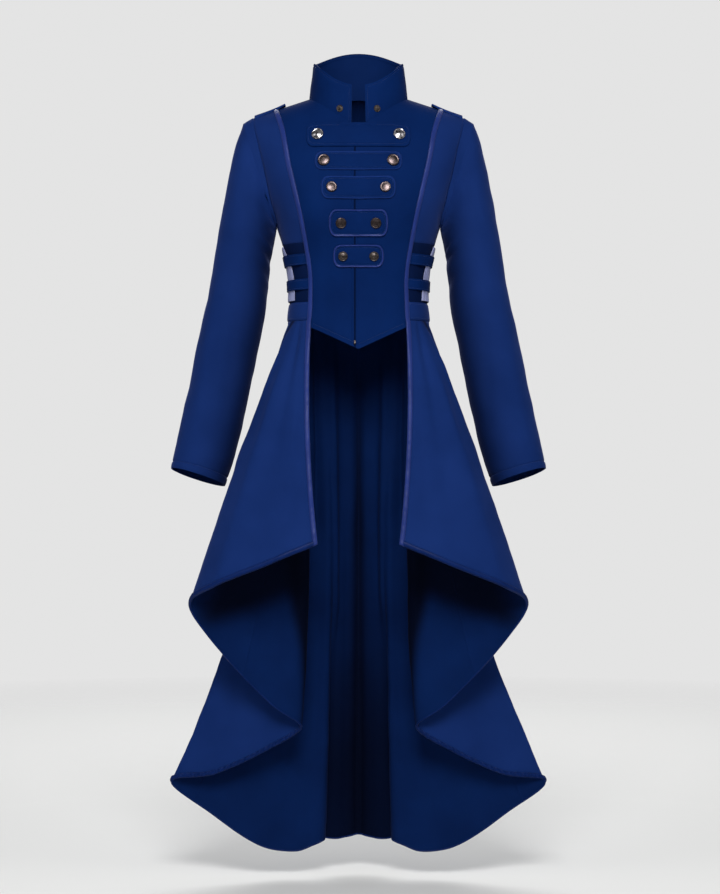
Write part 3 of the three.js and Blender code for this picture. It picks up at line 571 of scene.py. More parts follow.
def armhole_z(share):
    return lerp(ridge_z(SHOULDER["tip"]), ARMPIT_Z, (1 - math.cos(math.pi * share)) / 2)


def piped_edge(v):
    z = roll_z(v, seam_top, YOKE_END_Z - ALLOWANCE)
    return turn_at(piped_x(z) - ALLOWANCE, z), z


def armhole_edge(v):
    if v < ARMHOLE_SHARE:
        z = armhole_z(v / ARMHOLE_SHARE)
        return turn_at(armhole_x(z), z), z
    z = lerp(ARMPIT_Z, YOKE_END_Z - ALLOWANCE, (v - ARMHOLE_SHARE) / (1 - ARMHOLE_SHARE))
    return side_turn(z) + ALLOWANCE_TURN, z


for side, sign in SIDES:
    lie = between(side, piped_edge, armhole_edge, ridge_z)
    panel = cut_cloth("side_front_" + side, 30, 66, lie, COAT, sign < 0, "abh")
    sew_in(panel, (0.110, 0.265), 0.020)


# The inset at each side of the waist, a plain panel whose darker cloth paints the shade between the
# straps, and the waist band below it, which is interlined and stands a little fuller.
INSET_END_Z = -347.0
WAIST_Z = -377.0
BAND_FULL = 1.3
# The inset's cloth is painted shade: darker than the coat's own cloth
INSET_SHADE = brushed_cloth("navy inset shade", (0.0012, 0.0070, 0.040), (0.0008, 0.0052, 0.030), 0.02, 0.3)


def level_edges(top, bottom):
    def front_edge(v):
        z = lerp(top, bottom, v)
        return turn_at(piped_x(z) - ALLOWANCE, z), z

    def back_edge(v):
        z = lerp(top, bottom, v)
        return side_turn(z) + ALLOWANCE_TURN, z

    return front_edge, back_edge


for side, sign in SIDES:
    edges = level_edges(YOKE_END_Z + ALLOWANCE, INSET_END_Z - ALLOWANCE)
    inset = cut_cloth("side_inset_" + side, 36, 30, between(side, *edges), (INSET_SHADE,), sign < 0, "abth")
    sew_in(inset, (0.135, 0.100), None)
    flat_band = between(side, *level_edges(INSET_END_Z + ALLOWANCE, WAIST_Z - 2 * ALLOWANCE))

    def full_band(u, v, flat_band=flat_band):
        point = flat_band(u, v)
        away = Vector((point.x, point.y - SPINE_Y, 0)).normalized()
        return point + away * BAND_FULL * math.sin(math.pi * v) ** 0.6

    band = cut_cloth("waist_band_" + side, 36, 16, full_band, COAT, sign < 0, "abth")
    sew_in(band, (0.135, 0.032), None)


# The back, cut in two halves with a centre seam, from the neck to the waist. It can't be seen in the
# photograph, so it is plain, with the soft folds that such a back has above a fitted waist.
BACK_ARMHOLE = 0.62  # how much of the back's outer edge lies on the armhole


def back_top_z(x):
    return neck_z(x, "back") if x < NECK["half"] else ridge_z(x)


def centre_back(v):
    return 180, roll_z(v, back_top_z(0), WAIST_Z - 2 * ALLOWANCE, "back")


def back_edge(v):
    if v < BACK_ARMHOLE:
        z = armhole_z(v / BACK_ARMHOLE)
        return turn_at(armhole_x(z), z, True), z
    z = lerp(ARMPIT_Z, WAIST_Z - 2 * ALLOWANCE, (v - BACK_ARMHOLE) / (1 - BACK_ARMHOLE))
    return side_turn(z) - ALLOWANCE_TURN, z


for side, sign in SIDES:
    panel = between(side, centre_back, back_edge, back_top_z)

    def lapped(u, v, panel=panel, sign=sign):
        point = panel(u, v)
        return point if u else point - Vector((sign * ALLOWANCE, 0, 0))

    half = cut_cloth("back_" + side, 52, 80, lapped, COAT, sign > 0, "abh")
    sew_in(half, (0.205, 0.440), 0.072)


# The gathered satin let in at each side seam, a lilac strip drawn up into narrow upright pleats.
SATIN_FRONT = table("z turn", (-249, 77), (-290, 65), (-347, 61))
LAID = 0.5
GATHERS = 9
PLEATS = {"in": 3, "in_turn": 1.5, "base": 0.9, "high": 1.5, "wander": 0.35, "slub": (6, 0.25)}
satin_front_turn = curve(SATIN_FRONT, "z", "turn")


def satin(name, light, dark, roughness, sheen, ribs, gloss=0.25):
    """Polyester satin: a close soft gloss, with the fine lines of its long floats"""
    made, tree, skin = finish(name, light, roughness, sheen, (0.62, 0.64, 1.0), specular=gloss)
    skin.inputs["Anisotropic"].default_value = 0.4
    patchy(tree, skin.inputs["Base Color"], light, dark, 60, (1, 1, 0.4))
    spread = node(tree, "Mapping", Scale=(ribs, ribs * 0.08, 1))
    lines = node(tree, "TexNoise", Scale=1.0, Detail=2)
    bump = node(tree, "Bump", Strength=0.3, Distance=0.25 * MM)
    link(tree, woven(tree), "UV", spread, "Vector")
    link(tree, spread, "Vector", lines, "Vector")
    link(tree, lines, "Fac", bump, "Height")
    link(tree, bump, "Normal", skin, "Normal")
    return made


LILAC = satin("lilac satin", (0.300, 0.320, 0.520), (0.200, 0.220, 0.400), 0.36, 0.2, 1400)

for side, sign in SIDES:
    phase = 0.0 if side == "left" else 0.35

    def gathered(u, v, side=side, sign=sign, phase=phase):
        z = lerp(YOKE_END_Z - PLEATS["in"], INSET_END_Z + PLEATS["in"], v)
        turn = lerp(satin_front_turn(z), side_turn(z) - PLEATS["in_turn"], u)
        wander = PLEATS["wander"] * math.sin(3.1 * v + GATHERS * u + phase)
        pleat = abs(math.sin(math.pi * (GATHERS * u + wander + phase))) ** 0.7
        lift = LAID + PLEATS["base"] + PLEATS["high"] * pleat + slub((turn, z, sign), PLEATS["slub"])
        return flip(laid(side, turn, z, lift), sign)

    pleats = cut_cloth(
        "satin_side_" + side, 108, 26, gathered, (LILAC,), sign < 0, "abth", wall=0.5, roll=0.4
    )
    sew_in(pleats, (0.105, 0.095), 0.0090)


# The standing collar, two layers of the coat's cloth over a stiff interlining, open at the front and
# highest at the back, with its edges turned and topstitched.
COLLAR_WALL = 3.0
COLLAR_TUCK = 2.2  # how far it reaches down inside the neck edge
COLLAR_GAP_X = 12.0
COLLAR_TOP = {"half": 76.0, "front_y": -70.0, "back_y": 51.0, "front": 15.0, "side": 61.0, "back": 87.0}
TOPSTITCH = 4.2  # from the collar's edges to the stitching
CREST = 0.7
COLLAR_DITCH = (1.2, 0.9)
COLLAR_SLUBS = ((26, 0.9), (9, 0.25))


def collar_form(turn, rise):
    s, c = sin_cos(turn)
    x = NECK["half"] * abs(s)
    z = neck_z(x, "front" if c > 0 else "back")
    base = body_form(turn_at(x, z, c < 0), z)
    base.z -= COLLAR_TUCK
    far = COLLAR_TOP["front"] if c > 0 else COLLAR_TOP["back"]
    y = COLLAR_TOP["front_y"] if c > 0 else COLLAR_TOP["back_y"]
    top = Vector((COLLAR_TOP["half"] * abs(s), y * abs(c), lerp(COLLAR_TOP["side"], far, c * c)))
    point = base.lerp(top, rise)
    return Vector((math.copysign(point.x, s), point.y, point.z))


def collar_out(turn):
    s, c = sin_cos(turn)
    y = -COLLAR_TOP["front_y"] if c > 0 else COLLAR_TOP["back_y"]
    return Vector((s * y, -c * COLLAR_TOP["half"], 0)).normalized()


first_turn = math.degrees(math.asin(COLLAR_GAP_X / NECK["half"]))


def collar_point(turn, rise):
    """The collar's outer face: full between its stitched edges, a little uneven"""
    form = collar_form(turn, rise)
    tall = (collar_form(turn, 1) - collar_form(turn, 0)).length
    from_end = min(turn - first_turn, 360 - first_turn - turn) * math.radians(1) * NECK["half"]
    edge = min((1 - rise) * tall, from_end)
    lift = CREST * math.sin(math.pi * rise) ** 0.5 + groove(edge, TOPSTITCH, *COLLAR_DITCH)
    lift += slub(form, *COLLAR_SLUBS)
    return form + collar_out(turn) * lift


def around_neck(u, v):
    return collar_point(lerp(first_turn, 360 - first_turn, u), 1 - v)


collar = cut_cloth("collar", 150, 34, around_neck, FIRM, False, "at", wall=COLLAR_WALL, roll=0.5)
sew_in(collar, (0.440, 0.095), 0.0300)


# The sleeves, each cut in two with a seam under the arm and one behind it, set into the armhole and
# hemmed at the open cuff. They hang a little bent, with soft creases inside the elbow.
SLEEVE = table(
    "out_x out_z in_x in_z mid_y depth tilt",
    (196, -40, 139.6, -221, 6, 44, 0),
    (209, -78, 141, -229, 6, 49, 0),
    (222.5, -140, 143.5, -242, 6, 52, 0),
    (238, -222, 149, -275, 7, 52, 1),
    (254.5, -326, 157, -352, 7, 50, 2),
    (271.5, -402, 170.5, -424, 4, 48, 5),
    (287, -484, 187, -506, -4, 46, 7),
    (305.5, -570, 206, -592, -15, 44, 7),
    (317.5, -626, 226, -655, -24, 42, 7),
)
TUCK = 2.4
HEAD = 0.075  # how much of the sleeve's length its rounded head takes
CUFF_HEM = 15.0
CUFF_FULL = 0.7
CUFF_DITCH, SEAM_DITCH = (1.7, 1.1), (1.6, 0.9)
HIND_SEAM = 324.0  # degrees round the sleeve, counted from its outer side by way of the front
# Creases on a sleeve, as (degrees round, millimetres down from the armhole)
SLEEVE_CREASES = {
    "right": (
        ((128, 238), (188, 262), 8, -4.3),
        ((120, 268), (186, 292), 7, -3.8),
        ((134, 300), (182, 310), 6, -2.6),
        ((112, 214), (176, 232), 7, 2.0),
        ((60, 60), (86, 250), 13, -1.7),
        ((150, 30), (108, 150), 10, -3.2),
        ((170, 70), (128, 196), 9, -2.5),
        ((40, 330), (66, 560), 12, 1.4),
        ((96, 360), (118, 540), 10, -1.9),
        ((330, 240), (262, 290), 10, -2.9),
        ((250, 60), (284, 220), 14, -2.6),
        ((240, 330), (262, 500), 13, 2.0),
    ),
    "left": (
        ((124, 246), (186, 258), 8, -4.1),
        ((126, 280), (184, 300), 7, -3.5),
        ((138, 218), (184, 236), 6, -2.3),
        ((116, 226), (172, 240), 7, 1.7),
        ((66, 80), (82, 270), 12, -1.9),
        ((154, 36), (112, 160), 10, -2.9),
        ((168, 84), (134, 180), 8, -2.2),
        ((46, 350), (60, 540), 13, 1.6),
        ((92, 380), (124, 520), 10, -1.6),
        ((334, 256), (268, 280), 10, -3.0),
        ((254, 76), (280, 240), 13, -2.3),
        ((238, 350), (258, 520), 14, 1.9),
    ),
}
SLEEVE_KEYS = [dict(row, share=i / (len(SLEEVE) - 1)) for i, row in enumerate(SLEEVE)]
sleeve_at = {key: curve(SLEEVE_KEYS, "share", key) for key in SLEEVE[0]}


def armhole_point(side, around):
    """The armhole's edge, level with the same place round the sleeve"""
    s, c = sin_cos(around)
    top = ridge_z(SHOULDER["tip"])
    z = (top + ARMPIT_Z) / 2 + c * (top - ARMPIT_Z) / 2
    point = body_point(side, turn_at(armhole_x(z), z, s < -1e-6), z)
    return Vector((point.x + LAID, point.y, point.z))


def sleeve_form(side, around, share):
    s, c = sin_cos(around)
    ring = clamp((share - HEAD) / (1 - HEAD))
    at = {key: read(ring) for key, read in sleeve_at.items()}
    point = Vector((
        (at["out_x"] + at["in_x"]) / 2 + c * (at["out_x"] - at["in_x"]) / 2,
        at["mid_y"] - s * at["depth"],
        (at["out_z"] + at["in_z"]) / 2 + c * (at["out_z"] - at["in_z"]) / 2 + s * at["tilt"],
    ))
    if share < HEAD:
        return armhole_point(side, around).lerp(point, math.sin(math.pi / 2 * share / HEAD))
    return point


SLEEVE_LENGTH = 612.0  # along its middle
CREASE_ROUND = 0.85  # millimetres round the sleeve in one degree
SLEEVE_SLUBS = ((38, 1.3), (12, 0.25))
# Painted shade on the sleeve's inner side: depth, place and width round it, start and full down it
INNER_SLEEVE_SHADE = {"tone": 0.78, "around": 165, "width": 55, "from": 0.08, "full": 0.34}
creases_round = {
    side: [((a * CREASE_ROUND, h), (b * CREASE_ROUND, k), w, d) for (a, h), (b, k), w, d in rows]
    for side, rows in SLEEVE_CREASES.items()
}


@lru_cache(maxsize=None)
def sleeve_point(side, around, share):
    """The sleeve's outer face, with its creases, the ditch of its seams and the hem of its cuff; its
    first ring is tucked under the edge of the armhole"""
    form = sleeve_form(side, around, share)
    if share == 0:
        return form - Vector((TUCK, (form.y - SPINE_Y) * TUCK / SLEEVE[0]["depth"], 0))
    beside = sleeve_form(side, around + 2, share) - sleeve_form(side, around - 2, share)
    under = sleeve_form(side, around, min(share + 0.01, 1))
    under -= sleeve_form(side, around, max(share - 0.01, 0))
    out = beside.cross(under).normalized()
    centre = (sleeve_form(side, 0, share) + sleeve_form(side, 180, share)) / 2
    if out.dot(form - centre) < 0:
        out.negate()
    down = share * SLEEVE_LENGTH
    lift = soft_creases(creases_round[side], (around % 360) * CREASE_ROUND, down) * ease(share, 0, 0.08)
    sign = 1 if side == "left" else -1
    lift += slub((form.x * sign, form.y, form.z), *SLEEVE_SLUBS)
    for seam in (180, HIND_SEAM):
        off = abs((around - seam + 180) % 360 - 180) * CREASE_ROUND
        lift += groove(off, 0, *SEAM_DITCH)
    from_hem = SLEEVE_LENGTH - down
    lift += groove(from_hem, CUFF_HEM, *CUFF_DITCH)
    lift += CUFF_FULL * math.sin(math.pi * clamp(from_hem / CUFF_HEM))
    return form + out * lift * ease(share, -0.02, 0.02)


for side, sign in SIDES:

    def round_arm(u, v, side=side, sign=sign):
        return flip(sleeve_point(side, u * 360 % 360, v), sign)

    def shaded_inner_arm(u, v):
        """Painted shade: the sleeve is darkened towards its inner side, where it lies in shade"""
        round_it = near(360 * u, INNER_SLEEVE_SHADE["around"], INNER_SLEEVE_SHADE["width"])
        return INNER_SLEEVE_SHADE["tone"] * round_it * ease(v, INNER_SLEEVE_SHADE["from"], INNER_SLEEVE_SHADE["full"]), 0.0

    sleeve = cut_cloth(
        "sleeve_" + side, 96, 150, round_arm, COAT, sign > 0, "t", tube=True, roll=0.7, painted_shade=shaded_inner_arm
    )
    halves = ["top_sleeve_" + side, "under_sleeve_" + side]
    sew_in(sleeve, (0.400, 0.660), 0.184, replaced=halves)


# The skirt, cut in three flared panels on each side, short in front and long behind. Its hem turns
# back on itself in deep folds, so the cloth's reverse shows at the sides and inside, darker partly in
# its own tone and partly as painted shade. Painted shade also darkens what the folds shut in.
FOLDS = table(
    "turn x y z bow_x bow_y",
    (39.3, 71, -130, -752, 8, 0),
    (50, 150, -137, -784, 4, -4),
    (60, 236, -117, -820, 3, -4),
    (70, 283, -62, -857, 4, 0),
    (78, 229, -20, -941, -14, 4),
    (85, 150, 12, -1028, -24, 4),
    (92, 101, 42, -1072, -24, 2),
    (100, 160, 57, -1114, -26, 0),
    (108, 250, 70, -1156, -34, 0),
    (117, 326, 90, -1171, -39, 0),
    (126, 262, 114, -1227, -30, 0),
    (135, 175, 126, -1287, -22, 0),
    (144, 110, 136, -1300, -14, 0),
    (154, 63, 152, -1282, -8, 0),
    (166, 38, 175, -1286, -2, 0),
    (180, 0, 188, -1282, 0, 0),
)
SKIRT_PANELS = (
    {"name": "front_skirt", "from": 0.0, "to": 4.4, "lines": 84, "flat": (0.42, 0.56), "area": 0.112},
    {"name": "side_skirt", "from": 4.4, "to": 9.7, "lines": 96, "flat": (0.50, 0.80), "area": 0.157},
    {"name": "back_skirt", "from": 9.7, "to": 15.0, "lines": 96, "flat": (0.46, 0.93), "area": 0.190},
)
SKIRT_TOP_Z = WAIST_Z - LAID
ALLOWANCE_FOLDS = 0.008
SKIRT_SLUBS = ((70, 2.4), (21, 0.5), (8, 0.14))
# Folds down the skirt: place along the folds and share of the fall at both ends, then the width in
# folds and how far the cloth stands out or sinks in, in millimetres
SKIRT_CREASES = {
    "right": (
        ((2.30, 0.0), (2.90, 0.06), 0.25, -2.2),
        ((3.20, 0.0), (3.30, 0.10), 0.30, 2.4),
        ((2.90, 0.05), (3.24, 0.46), 0.13, -2.8),
        ((2.60, 0.06), (2.94, 0.46), 0.16, 2.1),
        ((1.05, 0.0), (1.30, 0.62), 0.30, -3.8),
        ((0.52, 0.30), (0.60, 1.0), 0.22, 2.4),
        ((1.86, 0.16), (1.94, 1.0), 0.30, 3.4),
        ((3.45, 0.20), (3.50, 1.0), 0.22, -4.4),
        ((4.80, 0.12), (4.72, 1.0), 0.30, 3.4),
        ((5.60, 0.10), (5.46, 0.92), 0.24, -4.0),
        ((6.90, 0.18), (7.20, 1.0), 0.30, 3.6),
        ((8.15, 0.30), (8.10, 1.0), 0.26, -3.4),
        ((10.4, 0.24), (10.5, 1.0), 0.30, -3.0),
        ((11.5, 0.10), (11.6, 1.0), 0.30, 4.4),
        ((12.1, 0.0), (12.2, 0.34), 0.34, 9.0),
        ((12.85, 0.22), (12.8, 1.0), 0.30, -8.0),
        ((13.5, 0.0), (13.55, 0.55), 0.44, -11.0),
        ((13.30, 0.44), (13.35, 1.0), 0.22, 3.2),
        ((14.2, 0.34), (14.1, 1.0), 0.26, -3.4),
        ((15.0, 0.0), (15.0, 1.0), 0.20, 5.0),
    ),
    "left": (
        ((2.32, 0.0), (2.90, 0.06), 0.24, -2.1),
        ((3.18, 0.0), (3.28, 0.11), 0.30, 2.3),
        ((2.90, 0.05), (3.22, 0.43), 0.13, -2.7),
        ((2.58, 0.06), (2.92, 0.44), 0.16, 2.0),
        ((1.15, 0.0), (1.22, 0.70), 0.30, -3.4),
        ((0.48, 0.36), (0.62, 1.0), 0.24, 2.2),
        ((1.92, 0.20), (1.98, 1.0), 0.30, 3.6),
        ((3.42, 0.24), (3.52, 1.0), 0.23, -4.2),
        ((4.84, 0.10), (4.78, 1.0), 0.30, 3.2),
        ((5.56, 0.14), (5.50, 0.90), 0.24, -3.7),
        ((6.94, 0.22), (7.10, 1.0), 0.32, 3.3),
        ((8.20, 0.26), (8.06, 1.0), 0.26, -3.6),
        ((10.3, 0.28), (10.5, 1.0), 0.30, -2.8),
        ((11.6, 0.12), (11.5, 1.0), 0.30, 4.0),
        ((12.15, 0.0), (12.2, 0.36), 0.34, 8.6),
        ((12.8, 0.24), (12.85, 1.0), 0.30, -7.6),
        ((13.45, 0.0), (13.5, 0.52), 0.46, -10.4),
        ((13.26, 0.46), (13.32, 1.0), 0.23, 3.4),
        ((14.3, 0.38), (14.15, 1.0), 0.27, -3.2),
        ((15.0, 0.0), (15.0, 1.0), 0.20, 5.0),
    ),
}
# Low down, the middle of the back falls behind the rest in an inverted pleat
PLEAT = {"edge": 12.95, "inside": 13.45, "start": 0.35, "full": 0.85, "deep": 11.0}
fold_rows = [dict(row, fold=i) for i, row in enumerate(FOLDS)]
fold_at = {key: curve(fold_rows, "fold", key) for key in FOLDS[0]}
last_fold = len(FOLDS) - 1


@lru_cache(maxsize=None)
def fold_line(fold):
    hem = {key: read(fold) for key, read in fold_at.items()}
    return body_form(min(hem["turn"], 180), SKIRT_TOP_Z), hem


def skirt_form(fold, fall):
    top, hem = fold_line(fold)
    bow = 4 * fall * (1 - fall)
    return Vector((
        max(lerp(top.x, hem["x"], fall) + bow * hem["bow_x"], 0),
        lerp(top.y, hem["y"], fall) + bow * hem["bow_y"],
        lerp(SKIRT_TOP_Z, hem["z"], fall),
    ))


def skirt_axes(fold, fall):
    """Unit vectors along the folds, down the skirt and out of its face"""
    step = 0.01
    low, high = max(fold - step, 0), min(fold + step, last_fold)
    along = (skirt_form(high, fall) - skirt_form(low, fall)).normalized()
    down = (skirt_form(fold, min(fall + step, 1)) - skirt_form(fold, max(fall - step, 0))).normalized()
    out = down.cross(along).normalized()
    if fold > last_fold - step:
        out.x = 0
    return along, down, out.normalized()


def skirt_relief(side, fold, fall):
    pleated = ease(fold, PLEAT["edge"], PLEAT["inside"]) * ease(fall, PLEAT["start"], PLEAT["full"])
    total = PLEAT["deep"] * pleated
    for (f0, s0), (f1, s1), width, depth in SKIRT_CREASES[side]:
        t = clamp((fall - s0) / (s1 - s0))
        apart = (fold - lerp(f0, f1, t)) / width
        if abs(apart) < 3:
            fades = ease(fall, s0 - 0.05, s0 + 0.12) * (1 - ease(fall, s1 - 0.02, s1 + 0.10))
            total += depth * fades * math.exp(-(apart**2))
    return total


@lru_cache(maxsize=None)
def skirt_point(side, fold, fall):
    """The skirt's outer face with its smaller folds; x is positive on both sides"""
    form = skirt_form(fold, fall)
    out = skirt_axes(fold, fall)[2]
    sign = 1 if side == "left" else -1
    lift = skirt_relief(side, fold, fall)
    lift += slub((form.x * sign, form.y, form.z), *SKIRT_SLUBS) * ease(fall, 0, 0.1)
    moved = form + out * lift
    moved.x = max(moved.x, 0)
    return moved


# Painted shade where folds shut the cloth in, with its depth: places along the folds and shares of the
# fall
WAIST_PLEAT = {"tone": 0.97, "from": 2.30, "to": 2.90, "end": 0.055, "wide": 0.42, "narrow": 0.10}
PLEAT_FADES = (0.045, 0.08)
TAIL = {"tone": 0.6, "from": 2.84, "to": 3.26, "end": 0.46, "width": 0.07}
TAIL_STARTS, TAIL_FADES = (0.04, 0.08), (0.28, 0.46)
INSIDE = {"folds": (8.8, 10.6), "falls": (0.3, 0.6), "tones": (0.10, 0.04), "lit": 12.1}
CENTRE = {"tone": 0.85, "narrow": 0.10, "wide": 0.50, "falls": (0.02, 0.30)}
HOLLOW = {"tones": (0.50, 0.86), "deepens": (0.55, 0.85), "folds": (12.6, 13.7), "falls": (0.30, 0.75)}
CORNER = {"tone": 0.97, "edge": (5.0, 5.95), "moves": (0.60, 0.97), "before": 0.35, "past": 0.15}
CORNER_FALLS = (0.3, 0.5)
CORNER_ENDS = (6.3, 6.8)
SHORT_HEM = {"tone": 0.92, "from_z": -845, "to_z": -758, "first": 3, "wander": 60, "folds": (2.95, 3.7)}
SHORT_HEM_SHADE = (-84, -36)  # from below it


def painted_pleat_shade(fold, fall):
    """Painted shade on the face: in the pleat under the waist band, and in the crease that runs on from
    it
    """
    run = fall / WAIST_PLEAT["end"]
    width = lerp(WAIST_PLEAT["wide"], WAIST_PLEAT["narrow"], clamp(run))
    tone = WAIST_PLEAT["tone"] * near(fold, lerp(WAIST_PLEAT["from"], WAIST_PLEAT["to"], run), width)
    crease = near(fold, lerp(TAIL["from"], TAIL["to"], fall / TAIL["end"]), TAIL["width"])
    tail = TAIL["tone"] * crease * ease(fall, *TAIL_STARTS)
    return max(tone * (1 - ease(fall, *PLEAT_FADES)), tail) * (1 - ease(fall, *TAIL_FADES))


def painted_fold_shade(fold, fall):
    """Painted shade, from 0 to 1, on the face and on the reverse. On the reverse it darkens the inside
    of the tail, its centre back, the corner behind the hanging fold, and the cloth under the short
    front's hem, where its shadow falls"""
    wander = 0.12 * noise.noise(Vector((fall * 9, fold * 0.6, 3)))
    inside = ease(fold, *INSIDE["folds"]) * lerp(*INSIDE["tones"], ease(fall, *INSIDE["falls"]))
    inside *= 1 - 0.4 * near(fold, INSIDE["lit"], 0.5)
    centre = near(fold, last_fold + wander, lerp(CENTRE["narrow"], CENTRE["wide"], fall))
    centre *= CENTRE["tone"] * ease(fall, *CENTRE["falls"])
    hollow = lerp(*HOLLOW["tones"], ease(fall, *HOLLOW["deepens"]))
    hollow *= ease(fold + wander, *HOLLOW["folds"]) * ease(fall, *HOLLOW["falls"])
    edge = lerp(*CORNER["edge"], ease(fall, *CORNER["moves"])) + 0.4 * wander
    open_side = 1 - ease(fold, *CORNER_ENDS)
    corner = CORNER["tone"] * ease(fold, edge - CORNER["before"], edge + CORNER["past"])
    corner *= open_side * ease(fall, *CORNER_FALLS)
    hem_z = lerp(SHORT_HEM["from_z"], SHORT_HEM["to_z"], clamp((fold - SHORT_HEM["first"]) / 3))
    below = skirt_form(fold, fall).z - hem_z + SHORT_HEM["wander"] * wander
    under = SHORT_HEM["tone"] * ease(below, *SHORT_HEM_SHADE)
    under *= ease(fold, *SHORT_HEM["folds"]) * open_side
    open_air = (1 - inside) * (1 - centre) * (1 - hollow) * (1 - corner) * (1 - under)
    return painted_pleat_shade(fold, fall), 1 - open_air


for side, sign in SIDES:
    for panel in SKIRT_PANELS:
        first = panel["from"] - (ALLOWANCE_FOLDS if panel["from"] else 0)
        end = min(panel["to"] + ALLOWANCE_FOLDS, last_fold)

        def flared(u, v, side=side, sign=sign, first=first, end=end):
            point = skirt_point(side, lerp(first, end, u), v)
            past = 2 * ALLOWANCE if u == 1 and end == last_fold else 0.0
            return Vector((sign * (point.x - past), point.y, point.z))

        # Painted shade of the panel, read from its place on the skirt
        def away(u, v, first=first, end=end):
            return painted_fold_shade(lerp(first, end, u), v)

        sewn = "bt" if panel["from"] == 0 else "abt"
        name = panel["name"] + "_" + side
        flare = cut_cloth(name, panel["lines"], 96, flared, COAT, sign < 0, sewn, painted_shade=away)
        sew_in(flare, panel["flat"], panel["area"])


# Satin piping over the seam between front and side front, carried on down the skirt's front edge, and
# the satin binding along the whole hem. It is drawn a little tight, so it puckers.
PIPING = {"width": 8.6, "lift": LAID, "crown": 2.3}
BINDING = {"width": 8.4, "lift": 0.8, "crown": 1.9}
WRAPPED = CLOTH + 0.7  # from the cloth's face to the binding's inner face
VIOLET = satin("violet satin", (0.0125, 0.028, 0.155), (0.0085, 0.020, 0.118), 0.40, 0.09, 1000, 0.12)
BOUND = satin("navy satin", (0.0024, 0.0140, 0.088), (0.0015, 0.0105, 0.068), 0.42, 0.02, 1000, 0.06)
PUCKERED = (6.2, 9.2)  # the stretch of the hem, in folds, where the binding puckers most
DOME_STEPS = 10
HEM_STEPS = 62  # along the hem, to a fold


def bound(name, stations, section, finishes):
    """A closed strip drawn along stations of (point, across, out), its section given at each"""
    sides = len(section(0))
    bm = bmesh.new()
    last = len(stations) - 1
    bmesh.ops.create_grid(bm, x_segments=sides, y_segments=last, size=0.5)
    weave = bm.loops.layers.uv.new("weave")
    cell = {v: (round((v.co.x + 0.5) * sides), round((v.co.y + 0.5) * last)) for v in bm.verts}
    length = [0.0]
    for before, after in zip(stations, stations[1:]):
        length.append(length[-1] + (after[0] - before[0]).length)
    for vert, (i, k) in cell.items():
        point, across, out = stations[k]
        a, h = section(k)[i % sides]
        vert.co = point + across * a + out * h
    for face in bm.faces:
        for loop in face.loops:
            i, k = cell[loop.vert]
            loop[weave].uv = (i * 1.5 * MM, length[k] * MM)
    bmesh.ops.remove_doubles(bm, verts=bm.verts, dist=0.001)
    bmesh.ops.holes_fill(bm, edges=[e for e in bm.edges if e.is_boundary], sides=0)
    bmesh.ops.recalc_face_normals(bm, faces=bm.faces)
    return set_up(name, bm, finishes)


def domed(strip, middle, lift):
    """A crowned section: round on top, flat underneath"""
    ring = []
    for i in range(DOME_STEPS + 1):
        angle = math.pi * i / DOME_STEPS
        height = strip["lift"] + strip["crown"] * lift * math.sin(angle) ** 0.75
        ring.append((middle - strip["width"] / 2 * math.cos(angle), height))
    inward = strip["width"] * 0.3
    return ring + [(middle + inward, strip["lift"]), (middle - inward, strip["lift"])]


def mirror_stations(stations, sign):
    return [tuple(flip(part, sign) for part in station) for station in stations]


PIPED_STEPS = {"seam": 190, "skirt": 170}
for side, sign in SIDES:
    stations = []
    for k in range(PIPED_STEPS["seam"]):
        z = roll_z(lerp(0.05, 1, k / PIPED_STEPS["seam"]), seam_top, WAIST_Z)
        turn = turn_at(piped_x(z), z)
        around, out = body_axes(side, turn, z)
        stations.append((body_point(side, turn, z), around, out))
    for k in range(1, PIPED_STEPS["skirt"] + 1):
        fall = k / PIPED_STEPS["skirt"]
        along, _, out = skirt_axes(0, fall)
        stations.append((skirt_point(side, 0, fall), along, out))

    def piped_section(k, side=side):
        shift = 5 if side == "left" else 47
        pucker = noise.noise(Vector((k * 0.31 + shift, 0.5, 0))) * 0.16
        pucker += noise.noise(Vector((k * 0.9, shift, 0))) * 0.08
        return domed(PIPING, 0.25 * noise.noise(Vector((k * 0.05, shift, 2))), 1 + pucker)

    piping = bound("piping_" + side, mirror_stations(stations, sign), piped_section, (VIOLET,))
    sew_in(piping, (0.780, 0.010), None)

    folds = []
    for panel in SKIRT_PANELS:
        count = round(HEM_STEPS * (panel["to"] - panel["from"]))
        folds += [lerp(panel["from"], panel["to"], i / count) for i in range(count)]
    folds = [fold for fold in folds if fold > 0] + [last_fold]
    stations = []
    for fold in folds:
        _, down, out = skirt_axes(fold, 1)
        stations.append((skirt_point(side, fold, 1), -down, out))
    start = skirt_point(side, 0, 1).lerp(stations[0][0], 0.3)
    stations[0] = (start, stations[0][1], stations[0][2])

    def hem_section(k, folds=folds, side=side):
        tight = ease(folds[k], PUCKERED[0] - 0.6, PUCKERED[0])
        tight *= 1 - ease(folds[k], PUCKERED[1], PUCKERED[1] + 0.5)
        shift = 11 if side == "left" else 83
        wave = noise.noise(Vector((k * 0.42, shift, 0)))
        lift = 1 + 0.2 * wave + tight * 0.9 * math.sin(k * 0.8 + 3 * wave)
        wrapped = domed(BINDING, BINDING["width"] / 2 + 0.3, lift)
        behind = 0.4 - WRAPPED
        inner = [(0.2, behind), (2.2, behind), (2.2, -WRAPPED), (-0.7, -WRAPPED), (-0.9, -0.6)]
        return wrapped[:-2] + [(BINDING["width"], BINDING["lift"]), (0.2, BINDING["lift"])] + inner

    binding = bound("hem_binding_" + side, mirror_stations(stations, sign), hem_section, (BOUND,))
    sew_in(binding, (1.245, 0.014), None)


